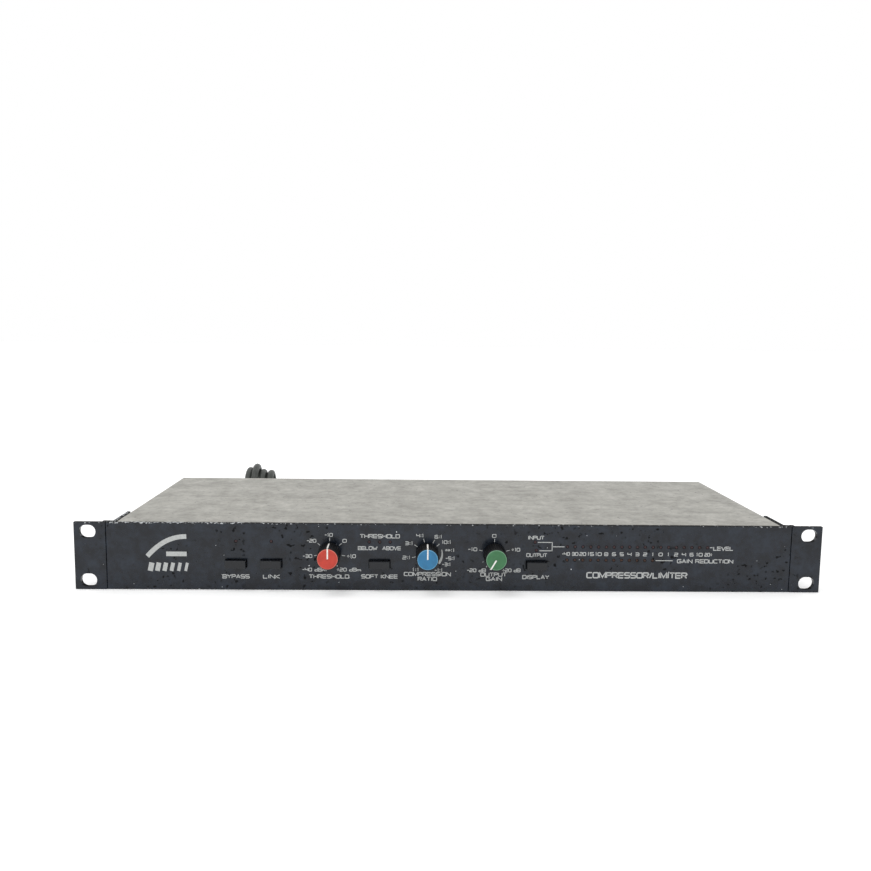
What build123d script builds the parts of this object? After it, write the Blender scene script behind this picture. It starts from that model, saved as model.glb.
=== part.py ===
from build123d import *
from math import cos, pi, radians, sin, tan
import os

# A 19-inch, one-unit-high studio compressor, in millimetres.
# Origin: centre of the four rack slots, on the plane where the ears sit against the rack rails.
# +X runs to the right seen from the front, +Y to the rear, +Z up.

# ---------------------------------------------------------------- driving dimensions
overall_width = 482.6
panel_width = 442.0
panel_height = 43.7
panel_thickness = 3.2
panel_chamfer = 0.4
panel_gap = 0.2                 # between the panel's end and an ear

chassis_width = 431.8
chassis_depth = 163.0
cover_drop = 0.2                # cover's top below the panel's top edge
sheet = 1.2
slip = 0.2                      # sheet to sheet
bend_radius = 1.5
lip_height = 14.0

slot_spacing_x = 465.1
slot_spacing_z = 31.75
slot_length = 10.4
slot_width = 8.6
ear_web_thickness = 3.0
ear_web_overlap = 3.0           # how far the web runs out past the panel's end
ear_flange_thickness = 2.0
ear_flange_length = 30.5

knob_xs = {"threshold": -78.8, "ratio": -16.0, "gain": 27.3}
pointer_angles = {"threshold": 0.0, "ratio": 0.0, "gain": -150.0}     # clockwise from the top, at rest
knob_z = 2.65
knob_diameter = 14.6
knob_length = 14.2
knob_lift = 0.8                 # off the panel's face
knob_recess_diameter = 12.4
knob_recess_depth = 3.0
flute_count = 28
flute_radius = 0.55
cap_diameter = 12.9
cap_thickness = 1.2
cap_crown = 0.35
pointer_width = 1.0
pointer_depth = 0.4
shaft_diameter = 6.0
running_clearance = 0.05
bushing_diameter = 7.0
nut_across_flats = 10.0
nut_thickness = 2.0
washer_diameter = 11.2
washer_thickness = 0.6
pot_size = 16.0
pot_depth = 9.0

button_xs = {"bypass": -138.6, "link": -116.1, "knee": -46.7, "display": 54.8}
button_z = -4.3
button_width = 13.2
button_height = 4.9
button_reach = 4.5              # how far it stands out of the panel
button_gap = 0.45
button_travel = 3.5
stem_width = 4.0
stem_height = 3.0
stem_gap = 0.25
switch_width = 13.6
switch_depth = 26.0
switch_top = 5.2                # above the button's centre

led_diameter = 1.9
led_hole_gap = 0.15
led_base_diameter = 2.9
led_reach = 0.25
level_count = 19
reduction_count = 12
meter_pitch = 5.08
meter_x = 74.6
level_z = 7.75
reduction_z = -1.05
indicator_z = 10.15
threshold_led_pitch = 6.7
display_led_places = ((53.6, 10.7), (54.6, 5.3))

front_board_y = 6.0
board_thickness = 1.6
board_gap = 0.5
main_board_front = 14.0
main_board_rear = 150.0
main_board_side_gap = 7.9       # board's right edge to the case's side
core_side_gap = 17.0            # transformer's foot to the board's left edge
standoff_height = 6.0
standoff_diameter = 6.0
board_hole_diameter = 3.2
screw_diameter = 3.0
screw_head_diameter = 5.6
screw_head_height = 2.0

rear_layout_width = 431.8       # case width the two rows below were set out for
jack_xs = (-70.0, 30.0, 64.0, 170.0)
jack_z = 0.0
jack_bore_diameter = 6.5
jack_bushing_diameter = 9.5
jack_bushing_length = 5.0
jack_bore_depth = 29.0
jack_body = (17.0, 26.0, 18.0)
jack_nut_across_flats = 12.7
jack_nut_thickness = 2.4

strip_xs = (-24.0, 120.0)
strip_terminals = 4
strip_pitch = 9.5
strip_height = 17.0
strip_base = 5.0
barrier_width = 1.8
barrier_depth = 11.0

lead_diameter = 6.0
gland_inset = 40.9              # from the case's left side
gland_z = -2.0
gland_neck_diameter = 12.6
gland_length = 22.0
lead_straight = 12.0            # straight run out of the strain relief before the hank
waist_reach = 63.0              # from the hank's near end to its tied waist
waist_length = 14.0
waist_left = -179.0
waist_right = -134.0
waist_height = 13.0
tie_thickness = 1.6
tie_width = 10.0
plug_x = -112.0
plug_setback = 3.0              # plug's face behind the hank's near end
plug_length = 46.0
plug_size = (26.0, 24.0)

# ---------------------------------------------------------------- places that follow
top_z = panel_height / 2
floor_z = -panel_height / 2
panel_face = -panel_thickness
cover_top = top_z - cover_drop
cover_under = cover_top - sheet
half_chassis = chassis_width / 2
half_panel = panel_width / 2
half_overall = overall_width / 2
tray_half = half_chassis - sheet - slip
tray_floor = floor_z + sheet
board_underside = tray_floor + standoff_height
board_top = board_underside + board_thickness
rear_inside = chassis_depth - sheet
gland_x = -half_chassis + gland_inset
gland_end = chassis_depth + gland_length
rear_share = chassis_width / rear_layout_width
jack_centres = [x * rear_share for x in jack_xs]
strip_centres = [x * rear_share for x in strip_xs]
hank_start = gland_end + lead_straight
waist_start = hank_start + waist_reach
waist_end = waist_start + waist_length
plug_front = hank_start + plug_setback
plug_end = plug_front + plug_length
plug_z = floor_z + plug_size[1] / 2

knob_places = {name: (x, knob_z) for name, x in knob_xs.items()}
button_places = {name: (x, button_z) for name, x in button_xs.items()}
level_leds = [(meter_x + i * meter_pitch, level_z) for i in range(level_count)]
reduction_leds = [(meter_x + i * meter_pitch, reduction_z) for i in range(reduction_count)]
threshold_leds = [(button_xs["knee"] + i * threshold_led_pitch, indicator_z) for i in (-1, 0, 1)]
status_leds = [(button_xs["bypass"], indicator_z), (button_xs["link"], indicator_z)]
indicator_leds = threshold_leds + status_leds + list(display_led_places)

os.makedirs("parts", exist_ok=True)


def save(piece, node):
    """Label a finished piece and write it to its own file."""
    piece.part.label = node
    export_step(piece.part, f"parts/{node}.step")


def across(y):
    """A plane across the unit at depth y: sketch x is +X, sketch y is +Z, and it faces the front."""
    return Plane.XZ.offset(-y)


def block(x_range, y_range, z_range, mode=Mode.ADD):
    """A box from its three pairs of limits, in the part being built."""
    sizes = [high - low for low, high in (x_range, y_range, z_range)]
    middle = [(high + low) / 2 for low, high in (x_range, y_range, z_range)]
    with Locations(tuple(middle)):
        Box(*sizes, mode=mode)


def around(centre, width):
    """Limits of a width about a centre."""
    return (centre - width / 2, centre + width / 2)


# ---------------------------------------------------------------- front panel
stud_xs = (-half_chassis + 10.9, -95.0, half_chassis - 25.9)
stud_places = [(x, z) for x in stud_xs for z in (-14.0, 14.0)]
stud_diameter = 3.0
stud_length = 5.5
stud_nut_across_flats = 5.5
stud_nut_thickness = 2.4

with BuildPart() as front_panel:
    with BuildSketch(across(0)):
        Rectangle(panel_width, panel_height)
        with Locations(*knob_places.values()):
            Circle(bushing_diameter / 2 + slip, mode=Mode.SUBTRACT)
        with Locations(*button_places.values()):
            Rectangle(button_width + 2 * button_gap, button_height + 2 * button_gap, mode=Mode.SUBTRACT)
        with Locations(*(level_leds + reduction_leds + indicator_leds)):
            Circle(led_diameter / 2 + led_hole_gap, mode=Mode.SUBTRACT)
    extrude(amount=panel_thickness)
    chamfer(front_panel.faces().sort_by(Axis.Y)[0].outer_wire().edges(), panel_chamfer)
    with BuildSketch(across(0)):
        with Locations(*stud_places):
            Circle(stud_diameter / 2)
    extrude(amount=-stud_length)
save(front_panel, "front_panel")

with BuildPart() as panel_nuts:
    with BuildSketch(across(sheet)):
        with Locations(*stud_places):
            RegularPolygon(stud_nut_across_flats / 2, 6, major_radius=False)
            Circle(stud_diameter / 2, mode=Mode.SUBTRACT)
    extrude(amount=-stud_nut_thickness)
save(panel_nuts, "panel_nuts")

# ---------------------------------------------------------------- rack ears
ear_screw_y = 17.0
ear_screw_zs = (-11.0, 11.0)
ear_screw_diameter = 4.0
ear_screw_head_diameter = 7.6
ear_screw_length = 7.0
ear_edge_radius = 0.6


def rack_ear(side):
    """An extruded ear: rail plate flush with the panel, web behind its end, flange on the case."""
    plate = (half_panel + panel_gap, half_overall)
    web = (half_chassis, half_panel + ear_web_overlap)
    flange = (half_chassis, half_chassis + ear_flange_thickness)
    full_height = (floor_z, top_z)

    def sided(limits):
        return tuple(sorted(side * value for value in limits))

    with BuildPart() as ear:
        block(sided(plate), (panel_face, 0), full_height)
        block(sided(web), (0, ear_web_thickness), full_height)
        block(sided(flange), (0, ear_flange_length), full_height)
        outer_corners = ear.edges().filter_by(Axis.Z).sort_by(Axis.X)
        fillet(outer_corners[-2:] if side > 0 else outer_corners[:2], ear_edge_radius)
        with BuildSketch(across(0)):
            with Locations((side * slot_spacing_x / 2, 0)):
                with GridLocations(0, slot_spacing_z, 1, 2):
                    SlotOverall(slot_length, slot_width)
        extrude(amount=panel_thickness, both=True, mode=Mode.SUBTRACT)
        with BuildSketch(Plane.YZ.offset(side * half_chassis)):
            with Locations(*[(ear_screw_y, z) for z in ear_screw_zs]):
                Circle(ear_screw_diameter / 2 + slip)
        extrude(amount=side * ear_flange_thickness, mode=Mode.SUBTRACT)
    return ear


save(rack_ear(-1), "rack_ear_left")
save(rack_ear(1), "rack_ear_right")


def side_screws(places, outer_face, shank_diameter, head_diameter, length):
    """Pan-head screws driven inwards from both sides of the case, at (y, z) places."""
    with BuildPart() as screws:
        for side in (-1, 1):
            with BuildSketch(Plane.YZ.offset(side * outer_face)):
                with Locations(*places):
                    Circle(head_diameter / 2)
            extrude(amount=side * screw_head_height)
            with BuildSketch(Plane.YZ.offset(side * outer_face)):
                with Locations(*places):
                    Circle(shank_diameter / 2)
            extrude(amount=-side * length)
        outer_rims = screws.edges().filter_by(GeomType.CIRCLE).group_by(Axis.X)
        fillet(outer_rims[0] + outer_rims[-1], screw_head_height * 0.4)
    return screws


save(
    side_screws(
        [(ear_screw_y, z) for z in ear_screw_zs],
        half_chassis + ear_flange_thickness,
        ear_screw_diameter,
        ear_screw_head_diameter,
        ear_screw_length,
    ),
    "ear_screws",
)

# ---------------------------------------------------------------- case
cover_screw_inset = 11.0         # rearmost and foremost screws, from the case's rear and the ears' end
cover_screw_ys = (48.0, (37.0 + chassis_depth) / 2, chassis_depth - cover_screw_inset)
cover_screw_places = [(y, floor_z + 8.0) for y in cover_screw_ys]
cover_screw_length = 6.0
gland_places = [(gland_x, gland_z)]
jack_places = [(x, jack_z) for x in jack_centres]
strip_window = (strip_terminals * strip_pitch - 4.0, strip_height - 6.0)
case_side_holes = [(ear_screw_y, z) for z in ear_screw_zs]

with BuildPart() as chassis_tray:
    wide = (-tray_half, tray_half)
    upstand = (floor_z, cover_under - slip)
    block(wide, (0, chassis_depth), (floor_z, tray_floor))
    block(wide, (0, sheet), upstand)
    block(wide, (rear_inside, chassis_depth), upstand)
    for side in (-1, 1):
        lip = sorted((side * tray_half, side * (tray_half - sheet)))
        block(lip, (ear_flange_length + 2.0, chassis_depth), (floor_z, floor_z + lip_height))
    with BuildSketch(across(0)):
        with Locations(*knob_places.values()):
            Circle(bushing_diameter / 2 + slip)
        with Locations(*button_places.values()):
            Rectangle(button_width + 4 * button_gap, button_height + 4 * button_gap)
        with Locations(*(level_leds + reduction_leds + indicator_leds)):
            Circle(led_diameter / 2 + 2 * led_hole_gap)
        with Locations(*stud_places):
            Circle(stud_diameter / 2 + slip)
    extrude(amount=-sheet, mode=Mode.SUBTRACT)
    with BuildSketch(across(chassis_depth)):
        with Locations(*jack_places):
            Circle(jack_bushing_diameter / 2 + slip)
        with Locations(*[(x, jack_z) for x in strip_centres]):
            Rectangle(*strip_window)
        with Locations(*gland_places):
            Circle(gland_neck_diameter / 2)
    extrude(amount=sheet, mode=Mode.SUBTRACT)
    with BuildSketch(Plane.YZ):
        with Locations(*cover_screw_places):
            Circle(screw_diameter / 2)
    extrude(amount=half_chassis, both=True, mode=Mode.SUBTRACT)
save(chassis_tray, "chassis_tray")

with BuildPart() as top_cover:
    case_wide = (-half_chassis, half_chassis)
    case_long = (0, chassis_depth)
    block(case_wide, case_long, (floor_z, cover_top))
    fillet(top_cover.faces().sort_by(Axis.Z)[-1].edges().filter_by(Axis.Y), bend_radius)
    inside = (-half_chassis + sheet, half_chassis - sheet)
    block(inside, case_long, (floor_z, cover_under), mode=Mode.SUBTRACT)
    with BuildSketch(Plane.YZ):
        with Locations(*cover_screw_places):
            Circle(screw_diameter / 2 + slip)
        with Locations(*case_side_holes):
            Circle(ear_screw_diameter / 2 + slip)
    extrude(amount=half_chassis, both=True, mode=Mode.SUBTRACT)
save(top_cover, "top_cover")

save(
    side_screws(
        cover_screw_places, half_chassis, screw_diameter, screw_head_diameter, cover_screw_length
    ),
    "cover_screws",
)

# ---------------------------------------------------------------- rotary controls
knob_rear = panel_face - knob_lift
knob_front = knob_rear - knob_length
nut_rear = panel_face - washer_thickness
shaft_front = knob_front + cap_thickness + 1.0
shaft_end = sheet + pot_depth - 2.0


def knob(x):
    """A fluted push-on knob: shaft bore, recess over the nut, seat for the coloured cap."""
    with BuildPart() as body:
        with BuildSketch(across(knob_rear)):
            with Locations((x, knob_z)):
                Circle(knob_diameter / 2)
                with PolarLocations(knob_diameter / 2, flute_count):
                    Circle(flute_radius, mode=Mode.SUBTRACT)
                Circle(shaft_diameter / 2, mode=Mode.SUBTRACT)
        extrude(amount=knob_length)
        with BuildSketch(across(knob_rear)):
            with Locations((x, knob_z)):
                Circle(knob_recess_diameter / 2)
        extrude(amount=knob_recess_depth, mode=Mode.SUBTRACT)
        with BuildSketch(across(shaft_front)):
            with Locations((x, knob_z)):
                Circle(shaft_diameter / 2)
        extrude(amount=shaft_front - knob_front)
        with BuildSketch(across(knob_front)):
            with Locations((x, knob_z)):
                Circle(cap_diameter / 2)
        extrude(amount=-cap_thickness, mode=Mode.SUBTRACT)
    return body


def knob_cap(x, pointer_angle):
    """A coloured disc pressed into the knob's end, with a groove for the white pointer line."""
    with BuildPart() as cap:
        with BuildSketch(across(knob_front + cap_thickness)):
            with Locations((x, knob_z)):
                Circle(cap_diameter / 2)
        extrude(amount=cap_thickness + cap_crown)
        chamfer(cap.faces().sort_by(Axis.Y)[0].edges(), cap_crown)
        with BuildSketch(across(knob_front - cap_crown)):
            with Locations(Location((x, knob_z), -pointer_angle)):
                with Locations((0, cap_diameter / 4)):
                    Rectangle(pointer_width, cap_diameter / 2)
        extrude(amount=-pointer_depth, mode=Mode.SUBTRACT)
    return cap


def pot(x):
    """A square potentiometer with its threaded bushing, bored for the turning shaft."""
    with BuildPart() as body:
        block(around(x, pot_size), (sheet, sheet + pot_depth), around(knob_z, pot_size))
        with BuildSketch(across(sheet)):
            with Locations((x, knob_z)):
                Circle(bushing_diameter / 2)
        extrude(amount=sheet - panel_face + washer_thickness + nut_thickness + 0.4)
        with BuildSketch(across(shaft_end)):
            with Locations((x, knob_z)):
                Circle(shaft_diameter / 2 + running_clearance)
        extrude(amount=shaft_end - knob_front, mode=Mode.SUBTRACT)
    return body


def shaft(x):
    """The pot's round shaft, from inside the pot to inside the knob."""
    with BuildPart() as rod:
        with BuildSketch(across(shaft_end - 0.5)):
            with Locations((x, knob_z)):
                Circle(shaft_diameter / 2)
        extrude(amount=shaft_end - 0.5 - shaft_front)
    return rod


for name, knob_x in knob_xs.items():
    save(knob(knob_x), f"knob_{name}")
    save(knob_cap(knob_x, pointer_angles[name]), f"cap_{name}")
    save(shaft(knob_x), f"shaft_{name}")
    save(pot(knob_x), f"pot_{name}")

with BuildPart() as pot_nuts:
    with BuildSketch(across(panel_face)):
        with Locations(*knob_places.values()):
            Circle(washer_diameter / 2)
            Circle(bushing_diameter / 2, mode=Mode.SUBTRACT)
    extrude(amount=washer_thickness)
    with BuildSketch(across(nut_rear)):
        with Locations(*knob_places.values()):
            RegularPolygon(nut_across_flats / 2, 6, major_radius=False)
            Circle(bushing_diameter / 2, mode=Mode.SUBTRACT)
    extrude(amount=nut_thickness)
save(pot_nuts, "pot_nuts")

# ---------------------------------------------------------------- push buttons
button_front = panel_face - button_reach
button_rear = 2.5
stem_end = main_board_front + 10.0
button_edge = 0.5


def button(x):
    """A push button's cap and stem, moulded in one."""
    with BuildPart() as cap:
        block(around(x, button_width), (button_front, button_rear), around(button_z, button_height))
        fillet(cap.faces().sort_by(Axis.Y)[0].edges(), button_edge)
        block(around(x, stem_width), (button_rear, stem_end), around(button_z, stem_height))
    return cap


def switch(x):
    """The switch body on the main board, with the guide that the stem slides in."""
    hole = (main_board_front, stem_end + button_travel + 1.0)
    with BuildPart() as body:
        block(
            around(x, switch_width),
            (main_board_front, main_board_front + switch_depth),
            (board_top, button_z + switch_top),
        )
        block(
            around(x, stem_width + 2 * stem_gap),
            hole,
            around(button_z, stem_height + 2 * stem_gap),
            mode=Mode.SUBTRACT,
        )
    return body


for name, button_x in button_xs.items():
    save(button(button_x), f"button_{name}")
    save(switch(button_x), f"switch_{name}")

# ---------------------------------------------------------------- lamps


def lamps(places):
    """Small domed lamps that reach from the front board through the panel."""
    tip = panel_face - led_reach
    shoulder = front_board_y - 3.0
    with BuildPart() as group:
        with BuildSketch(across(front_board_y)):
            with Locations(*places):
                Circle(led_base_diameter / 2)
        extrude(amount=front_board_y - shoulder)
        with BuildSketch(across(shoulder)):
            with Locations(*places):
                Circle(led_diameter / 2)
        extrude(amount=shoulder - tip)
        tips = group.edges().filter_by(GeomType.CIRCLE).group_by(Axis.Y)[0]
        fillet(tips, led_diameter * 0.35)
    return group


save(lamps(level_leds), "leds_level")
save(lamps(reduction_leds), "leds_reduction")
save(lamps(indicator_leds), "leds_indicator")

# ---------------------------------------------------------------- boards
core_size = (54.0, 26.0, 34.0)          # stack runs front to back
core_foot_width = 10.0
core_x = -half_chassis + 43.9
main_board_left = core_x + core_size[0] / 2 + core_foot_width + core_side_gap
main_board_right = half_chassis - main_board_side_gap
front_board_x = (-150.0, 176.0)
front_board_z = (floor_z + 3.5, top_z - 3.5)
mount_xs = (main_board_left + 6.0, 44.0, main_board_right - 6.0)
mount_ys = (main_board_front + 34.0, main_board_rear - 6.0)
mount_places = [(x, y) for x in mount_xs for y in mount_ys]

with BuildPart() as front_board:
    block(front_board_x, (front_board_y, front_board_y + board_thickness), front_board_z)
    with BuildSketch(across(front_board_y)):
        with Locations(*knob_places.values()):
            Rectangle(pot_size + 2 * board_gap, pot_size + 2 * board_gap)
        with Locations(*button_places.values()):
            Rectangle(button_width + 2 * board_gap, button_height + 2 * board_gap)
    extrude(amount=-board_thickness, mode=Mode.SUBTRACT)
save(front_board, "front_board")

with BuildPart() as main_board:
    block(
        (main_board_left, main_board_right),
        (main_board_front, main_board_rear),
        (board_underside, board_top),
    )
    with BuildSketch(Plane.XY.offset(board_underside)):
        with Locations(*mount_places):
            Circle(board_hole_diameter / 2)
    extrude(amount=board_thickness, mode=Mode.SUBTRACT)
save(main_board, "main_board")

with BuildPart() as standoffs:
    with BuildSketch(Plane.XY.offset(tray_floor)):
        with Locations(*mount_places):
            RegularPolygon(standoff_diameter / 2, 6, major_radius=False)
            Circle(screw_diameter / 2, mode=Mode.SUBTRACT)
    extrude(amount=standoff_height)
save(standoffs, "standoffs")

with BuildPart() as board_screws:
    with BuildSketch(Plane.XY.offset(board_top)):
        with Locations(*mount_places):
            Circle(screw_head_diameter / 2)
    extrude(amount=screw_head_height)
    with BuildSketch(Plane.XY.offset(board_top)):
        with Locations(*mount_places):
            Circle(screw_diameter / 2)
    extrude(amount=-(board_thickness + standoff_height - 1.0))
save(board_screws, "board_screws")

ribbon_x = (140.0, 166.0)
ribbon_thickness = 1.0
ribbon_reach = 26.0
ribbon_z = 10.0

with BuildPart() as ribbon_cable:
    board_face = front_board_y + board_thickness
    reach = board_face + ribbon_reach
    block(ribbon_x, (board_face, reach), around(ribbon_z, ribbon_thickness))
    block(ribbon_x, around(reach, ribbon_thickness), (board_top, ribbon_z + ribbon_thickness / 2))
    fillet(ribbon_cable.edges().filter_by(Axis.X).sort_by(Axis.Z)[-1], ribbon_thickness * 0.9)
save(ribbon_cable, "ribbon_cable")

# ---------------------------------------------------------------- power supply
core_y = 96.0
core_window = (9.0, 17.0)
winding_overhang = 9.0
core_foot_thickness = 1.5
core_z = tray_floor + core_foot_thickness + core_size[2] / 2
limb_width = core_size[0] - 2 * core_window[0] - 2 * 9.0

with BuildPart() as transformer_core:
    with BuildSketch(across(core_y + core_size[1] / 2)):
        with Locations((core_x, core_z)):
            Rectangle(core_size[0], core_size[2])
            with GridLocations(limb_width + core_window[0], 0, 2, 1):
                Rectangle(*core_window, mode=Mode.SUBTRACT)
    extrude(amount=core_size[1])
    foot_reach = core_size[0] + 2 * core_foot_width
    block(
        around(core_x, foot_reach),
        around(core_y, core_size[1] * 0.6),
        (tray_floor, tray_floor + core_foot_thickness),
    )
    with BuildSketch(Plane.XY.offset(tray_floor)):
        with Locations((core_x, core_y)):
            with GridLocations(foot_reach - core_foot_width, 0, 2, 1):
                Circle(ear_screw_diameter / 2)
    extrude(amount=core_foot_thickness, mode=Mode.SUBTRACT)
save(transformer_core, "transformer_core")

with BuildPart() as transformer_winding:
    winding_x = limb_width + 2 * core_window[0]
    winding_y = core_size[1] + 2 * winding_overhang
    block(around(core_x, winding_x), around(core_y, winding_y), around(core_z, core_window[1]))
    fillet(transformer_winding.edges().filter_by(Axis.Z), winding_overhang * 0.6)
    block(
        around(core_x, limb_width),
        around(core_y, core_size[1]),
        around(core_z, core_window[1]),
        mode=Mode.SUBTRACT,
    )
save(transformer_winding, "transformer_winding")

with BuildPart() as transformer_screws:
    with BuildSketch(Plane.XY.offset(tray_floor + core_foot_thickness)):
        with Locations((core_x, core_y)):
            with GridLocations(foot_reach - core_foot_width, 0, 2, 1):
                Circle(ear_screw_head_diameter / 2)
    extrude(amount=screw_head_height)
    with BuildSketch(Plane.XY.offset(tray_floor + core_foot_thickness)):
        with Locations((core_x, core_y)):
            with GridLocations(foot_reach - core_foot_width, 0, 2, 1):
                Circle(ear_screw_diameter / 2)
    extrude(amount=-core_foot_thickness)
save(transformer_screws, "transformer_screws")

capacitor_diameter = 16.0
capacitor_height = 25.0
capacitor_places = [(main_board_left + 18.0 + i * 20.0, 118.0) for i in range(2)]
with BuildPart() as filter_capacitors:
    with BuildSketch(Plane.XY.offset(board_top)):
        with Locations(*capacitor_places):
            Circle(capacitor_diameter / 2)
    extrude(amount=capacitor_height)
    fillet(filter_capacitors.faces().sort_by(Axis.Z)[-1].edges(), 0.8)
save(filter_capacitors, "filter_capacitors")

diode_length = 5.2
diode_diameter = 2.7
with BuildPart() as rectifier_diodes:
    with BuildSketch(Plane.YZ.offset(main_board_left + 18.0)):
        with Locations(*[(92.0 + 5.0 * i, board_top + diode_diameter / 2) for i in range(4)]):
            Circle(diode_diameter / 2)
    extrude(amount=diode_length)
save(rectifier_diodes, "rectifier_diodes")

sink_left = capacitor_places[-1][0] + 22.0
sink_right = min(sink_left + 44.0, jack_centres[1] - jack_body[0] / 2 - 2.5)
sink_x = (sink_left, sink_right)
sink_y = (126.0, 140.0)
sink_height = 24.0
sink_base = 3.0
fin_count = 9
fin_thickness = 1.2
regulator_size = (10.2, 4.4, 15.5)

with BuildPart() as heatsink:
    block(sink_x, (sink_y[0], sink_y[0] + sink_base), (board_top, board_top + sink_height))
    fin_pitch = (sink_x[1] - sink_x[0] - fin_thickness) / (fin_count - 1)
    for i in range(fin_count):
        fin = sink_x[0] + fin_thickness / 2 + i * fin_pitch
        block(around(fin, fin_thickness), sink_y, (board_top, board_top + sink_height))
save(heatsink, "heatsink")

with BuildPart() as regulators:
    for x in (sink_left * 0.75 + sink_right * 0.25, sink_left * 0.25 + sink_right * 0.75):
        regulator_z = board_top + 4.0
        block(
            around(x, regulator_size[0]),
            (sink_y[0] - regulator_size[1], sink_y[0]),
            (regulator_z, regulator_z + regulator_size[2]),
        )
save(regulators, "regulators")

fuse_x = main_board_left + 30.0
fuse_y = 70.0
fuse_diameter = 5.2
fuse_length = 20.0
fuse_z = board_top + 6.0
with BuildPart() as fuse:
    with BuildSketch(Plane.YZ.offset(fuse_x - fuse_length / 2)):
        with Locations((fuse_y, fuse_z)):
            Circle(fuse_diameter / 2)
    extrude(amount=fuse_length)
save(fuse, "fuse")

clip_width = 5.0
clip_size = (7.6, 9.5)
with BuildPart() as fuse_clips:
    for x in (fuse_x - fuse_length / 2 + clip_width / 2, fuse_x + fuse_length / 2 - clip_width / 2):
        block(
            around(x, clip_width), around(fuse_y, clip_size[0]), (board_top, board_top + clip_size[1])
        )
    with BuildSketch(Plane.YZ.offset(fuse_x - fuse_length)):
        with Locations((fuse_y, fuse_z)):
            Circle(fuse_diameter / 2)
            with Locations((0, fuse_diameter / 2)):
                Rectangle(fuse_diameter * 0.7, fuse_diameter)
    extrude(amount=2 * fuse_length, mode=Mode.SUBTRACT)
save(fuse_clips, "fuse_clips")

# ---------------------------------------------------------------- signal parts
chip_size = (9.8, 6.4, 3.4)
chip_places = [(x, y) for x in (4.0, 30.0, 74.0, 100.0) for y in (60.0, 84.0)]
trimmer_size = (9.5, 9.5, 5.0)
trimmer_places = [(20.0 + 18.0 * i, 114.0) for i in range(5)]
trimmer_screw_diameter = 2.6


def can(x_range, y_range, height, corner):
    """A pressed metal or moulded box on the main board with rounded upright corners."""
    with BuildPart() as shell:
        block(x_range, y_range, (board_top, board_top + height))
        fillet(shell.edges().filter_by(Axis.Z), corner)
        chamfer(shell.faces().sort_by(Axis.Z)[-1].edges(), corner * 0.4)
    return shell


save(can((124.0, 158.0), (54.0, 82.0), 13.0, 2.0), "gain_cell")
save(can((124.0, 152.0), (92.0, 114.0), 11.0, 1.5), "level_detector")

with BuildPart() as amplifier_chips:
    for x, y in chip_places:
        block(around(x, chip_size[0]), around(y, chip_size[1]), (board_top, board_top + chip_size[2]))
    chamfer(amplifier_chips.faces().group_by(Axis.Z)[-1].edges(), 0.4)
save(amplifier_chips, "amplifier_chips")

with BuildPart() as trim_pots:
    for x, y in trimmer_places:
        size = (around(x, trimmer_size[0]), around(y, trimmer_size[1]))
        block(*size, (board_top, board_top + trimmer_size[2]))
    with BuildSketch(Plane.XY.offset(board_top + trimmer_size[2])):
        with Locations(*trimmer_places):
            Circle(trimmer_screw_diameter / 2)
    extrude(amount=0.8)
save(trim_pots, "trim_pots")

# ---------------------------------------------------------------- rear connectors
jack_mouth = chassis_depth + jack_bushing_length
with BuildPart() as phone_jacks:
    for x, z in jack_places:
        body_y = (rear_inside - jack_body[1], rear_inside)
        block(around(x, jack_body[0]), body_y, around(z, jack_body[2]))
    with BuildSketch(across(jack_mouth)):
        with Locations(*jack_places):
            Circle(jack_bushing_diameter / 2)
    extrude(amount=jack_mouth - rear_inside)
    with BuildSketch(across(jack_mouth)):
        with Locations(*jack_places):
            Circle(jack_bore_diameter / 2)
    extrude(amount=jack_bore_depth, mode=Mode.SUBTRACT)
save(phone_jacks, "phone_jacks")

with BuildPart() as jack_nuts:
    with BuildSketch(across(chassis_depth)):
        with Locations(*jack_places):
            RegularPolygon(jack_nut_across_flats / 2, 6, major_radius=False)
            Circle(jack_bushing_diameter / 2, mode=Mode.SUBTRACT)
    extrude(amount=-jack_nut_thickness)
save(jack_nuts, "jack_nuts")

strip_length = strip_terminals * strip_pitch + barrier_width
terminal_places = [
    (x + (i - (strip_terminals - 1) / 2) * strip_pitch, jack_z) for x in strip_centres for i in range(strip_terminals)
]
with BuildPart() as terminal_strips:
    with BuildSketch(across(chassis_depth)):
        with Locations(*[(x, jack_z) for x in strip_centres]):
            Rectangle(strip_length, strip_height)
    extrude(amount=-strip_base)
    with BuildSketch(across(chassis_depth + strip_base)):
        for x in strip_centres:
            with Locations((x, jack_z)):
                with GridLocations(strip_pitch, 0, strip_terminals + 1, 1):
                    Rectangle(barrier_width, strip_height)
    extrude(amount=strip_base - barrier_depth)
    with BuildSketch(across(chassis_depth)):
        with Locations(*[(x, jack_z) for x in strip_centres]):
            Rectangle(strip_window[0] - 1.0, strip_window[1] - 1.0)
    extrude(amount=sheet + 4.0)
save(terminal_strips, "terminal_strips")

terminal_plate = (6.6, 12.0)
terminal_plate_thickness = 0.8
terminal_head_diameter = 6.2
with BuildPart() as terminal_screws:
    with BuildSketch(across(chassis_depth + strip_base)):
        with Locations(*terminal_places):
            Rectangle(*terminal_plate)
    extrude(amount=-terminal_plate_thickness)
    with BuildSketch(across(chassis_depth + strip_base + terminal_plate_thickness)):
        with Locations(*terminal_places):
            Circle(terminal_head_diameter / 2)
    extrude(amount=-screw_head_height)
    with BuildSketch(across(chassis_depth + strip_base + terminal_plate_thickness + screw_head_height)):
        with Locations(*terminal_places):
            Rectangle(terminal_head_diameter, 1.0)
    extrude(amount=0.9, mode=Mode.SUBTRACT)
save(terminal_screws, "terminal_screws")

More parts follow.
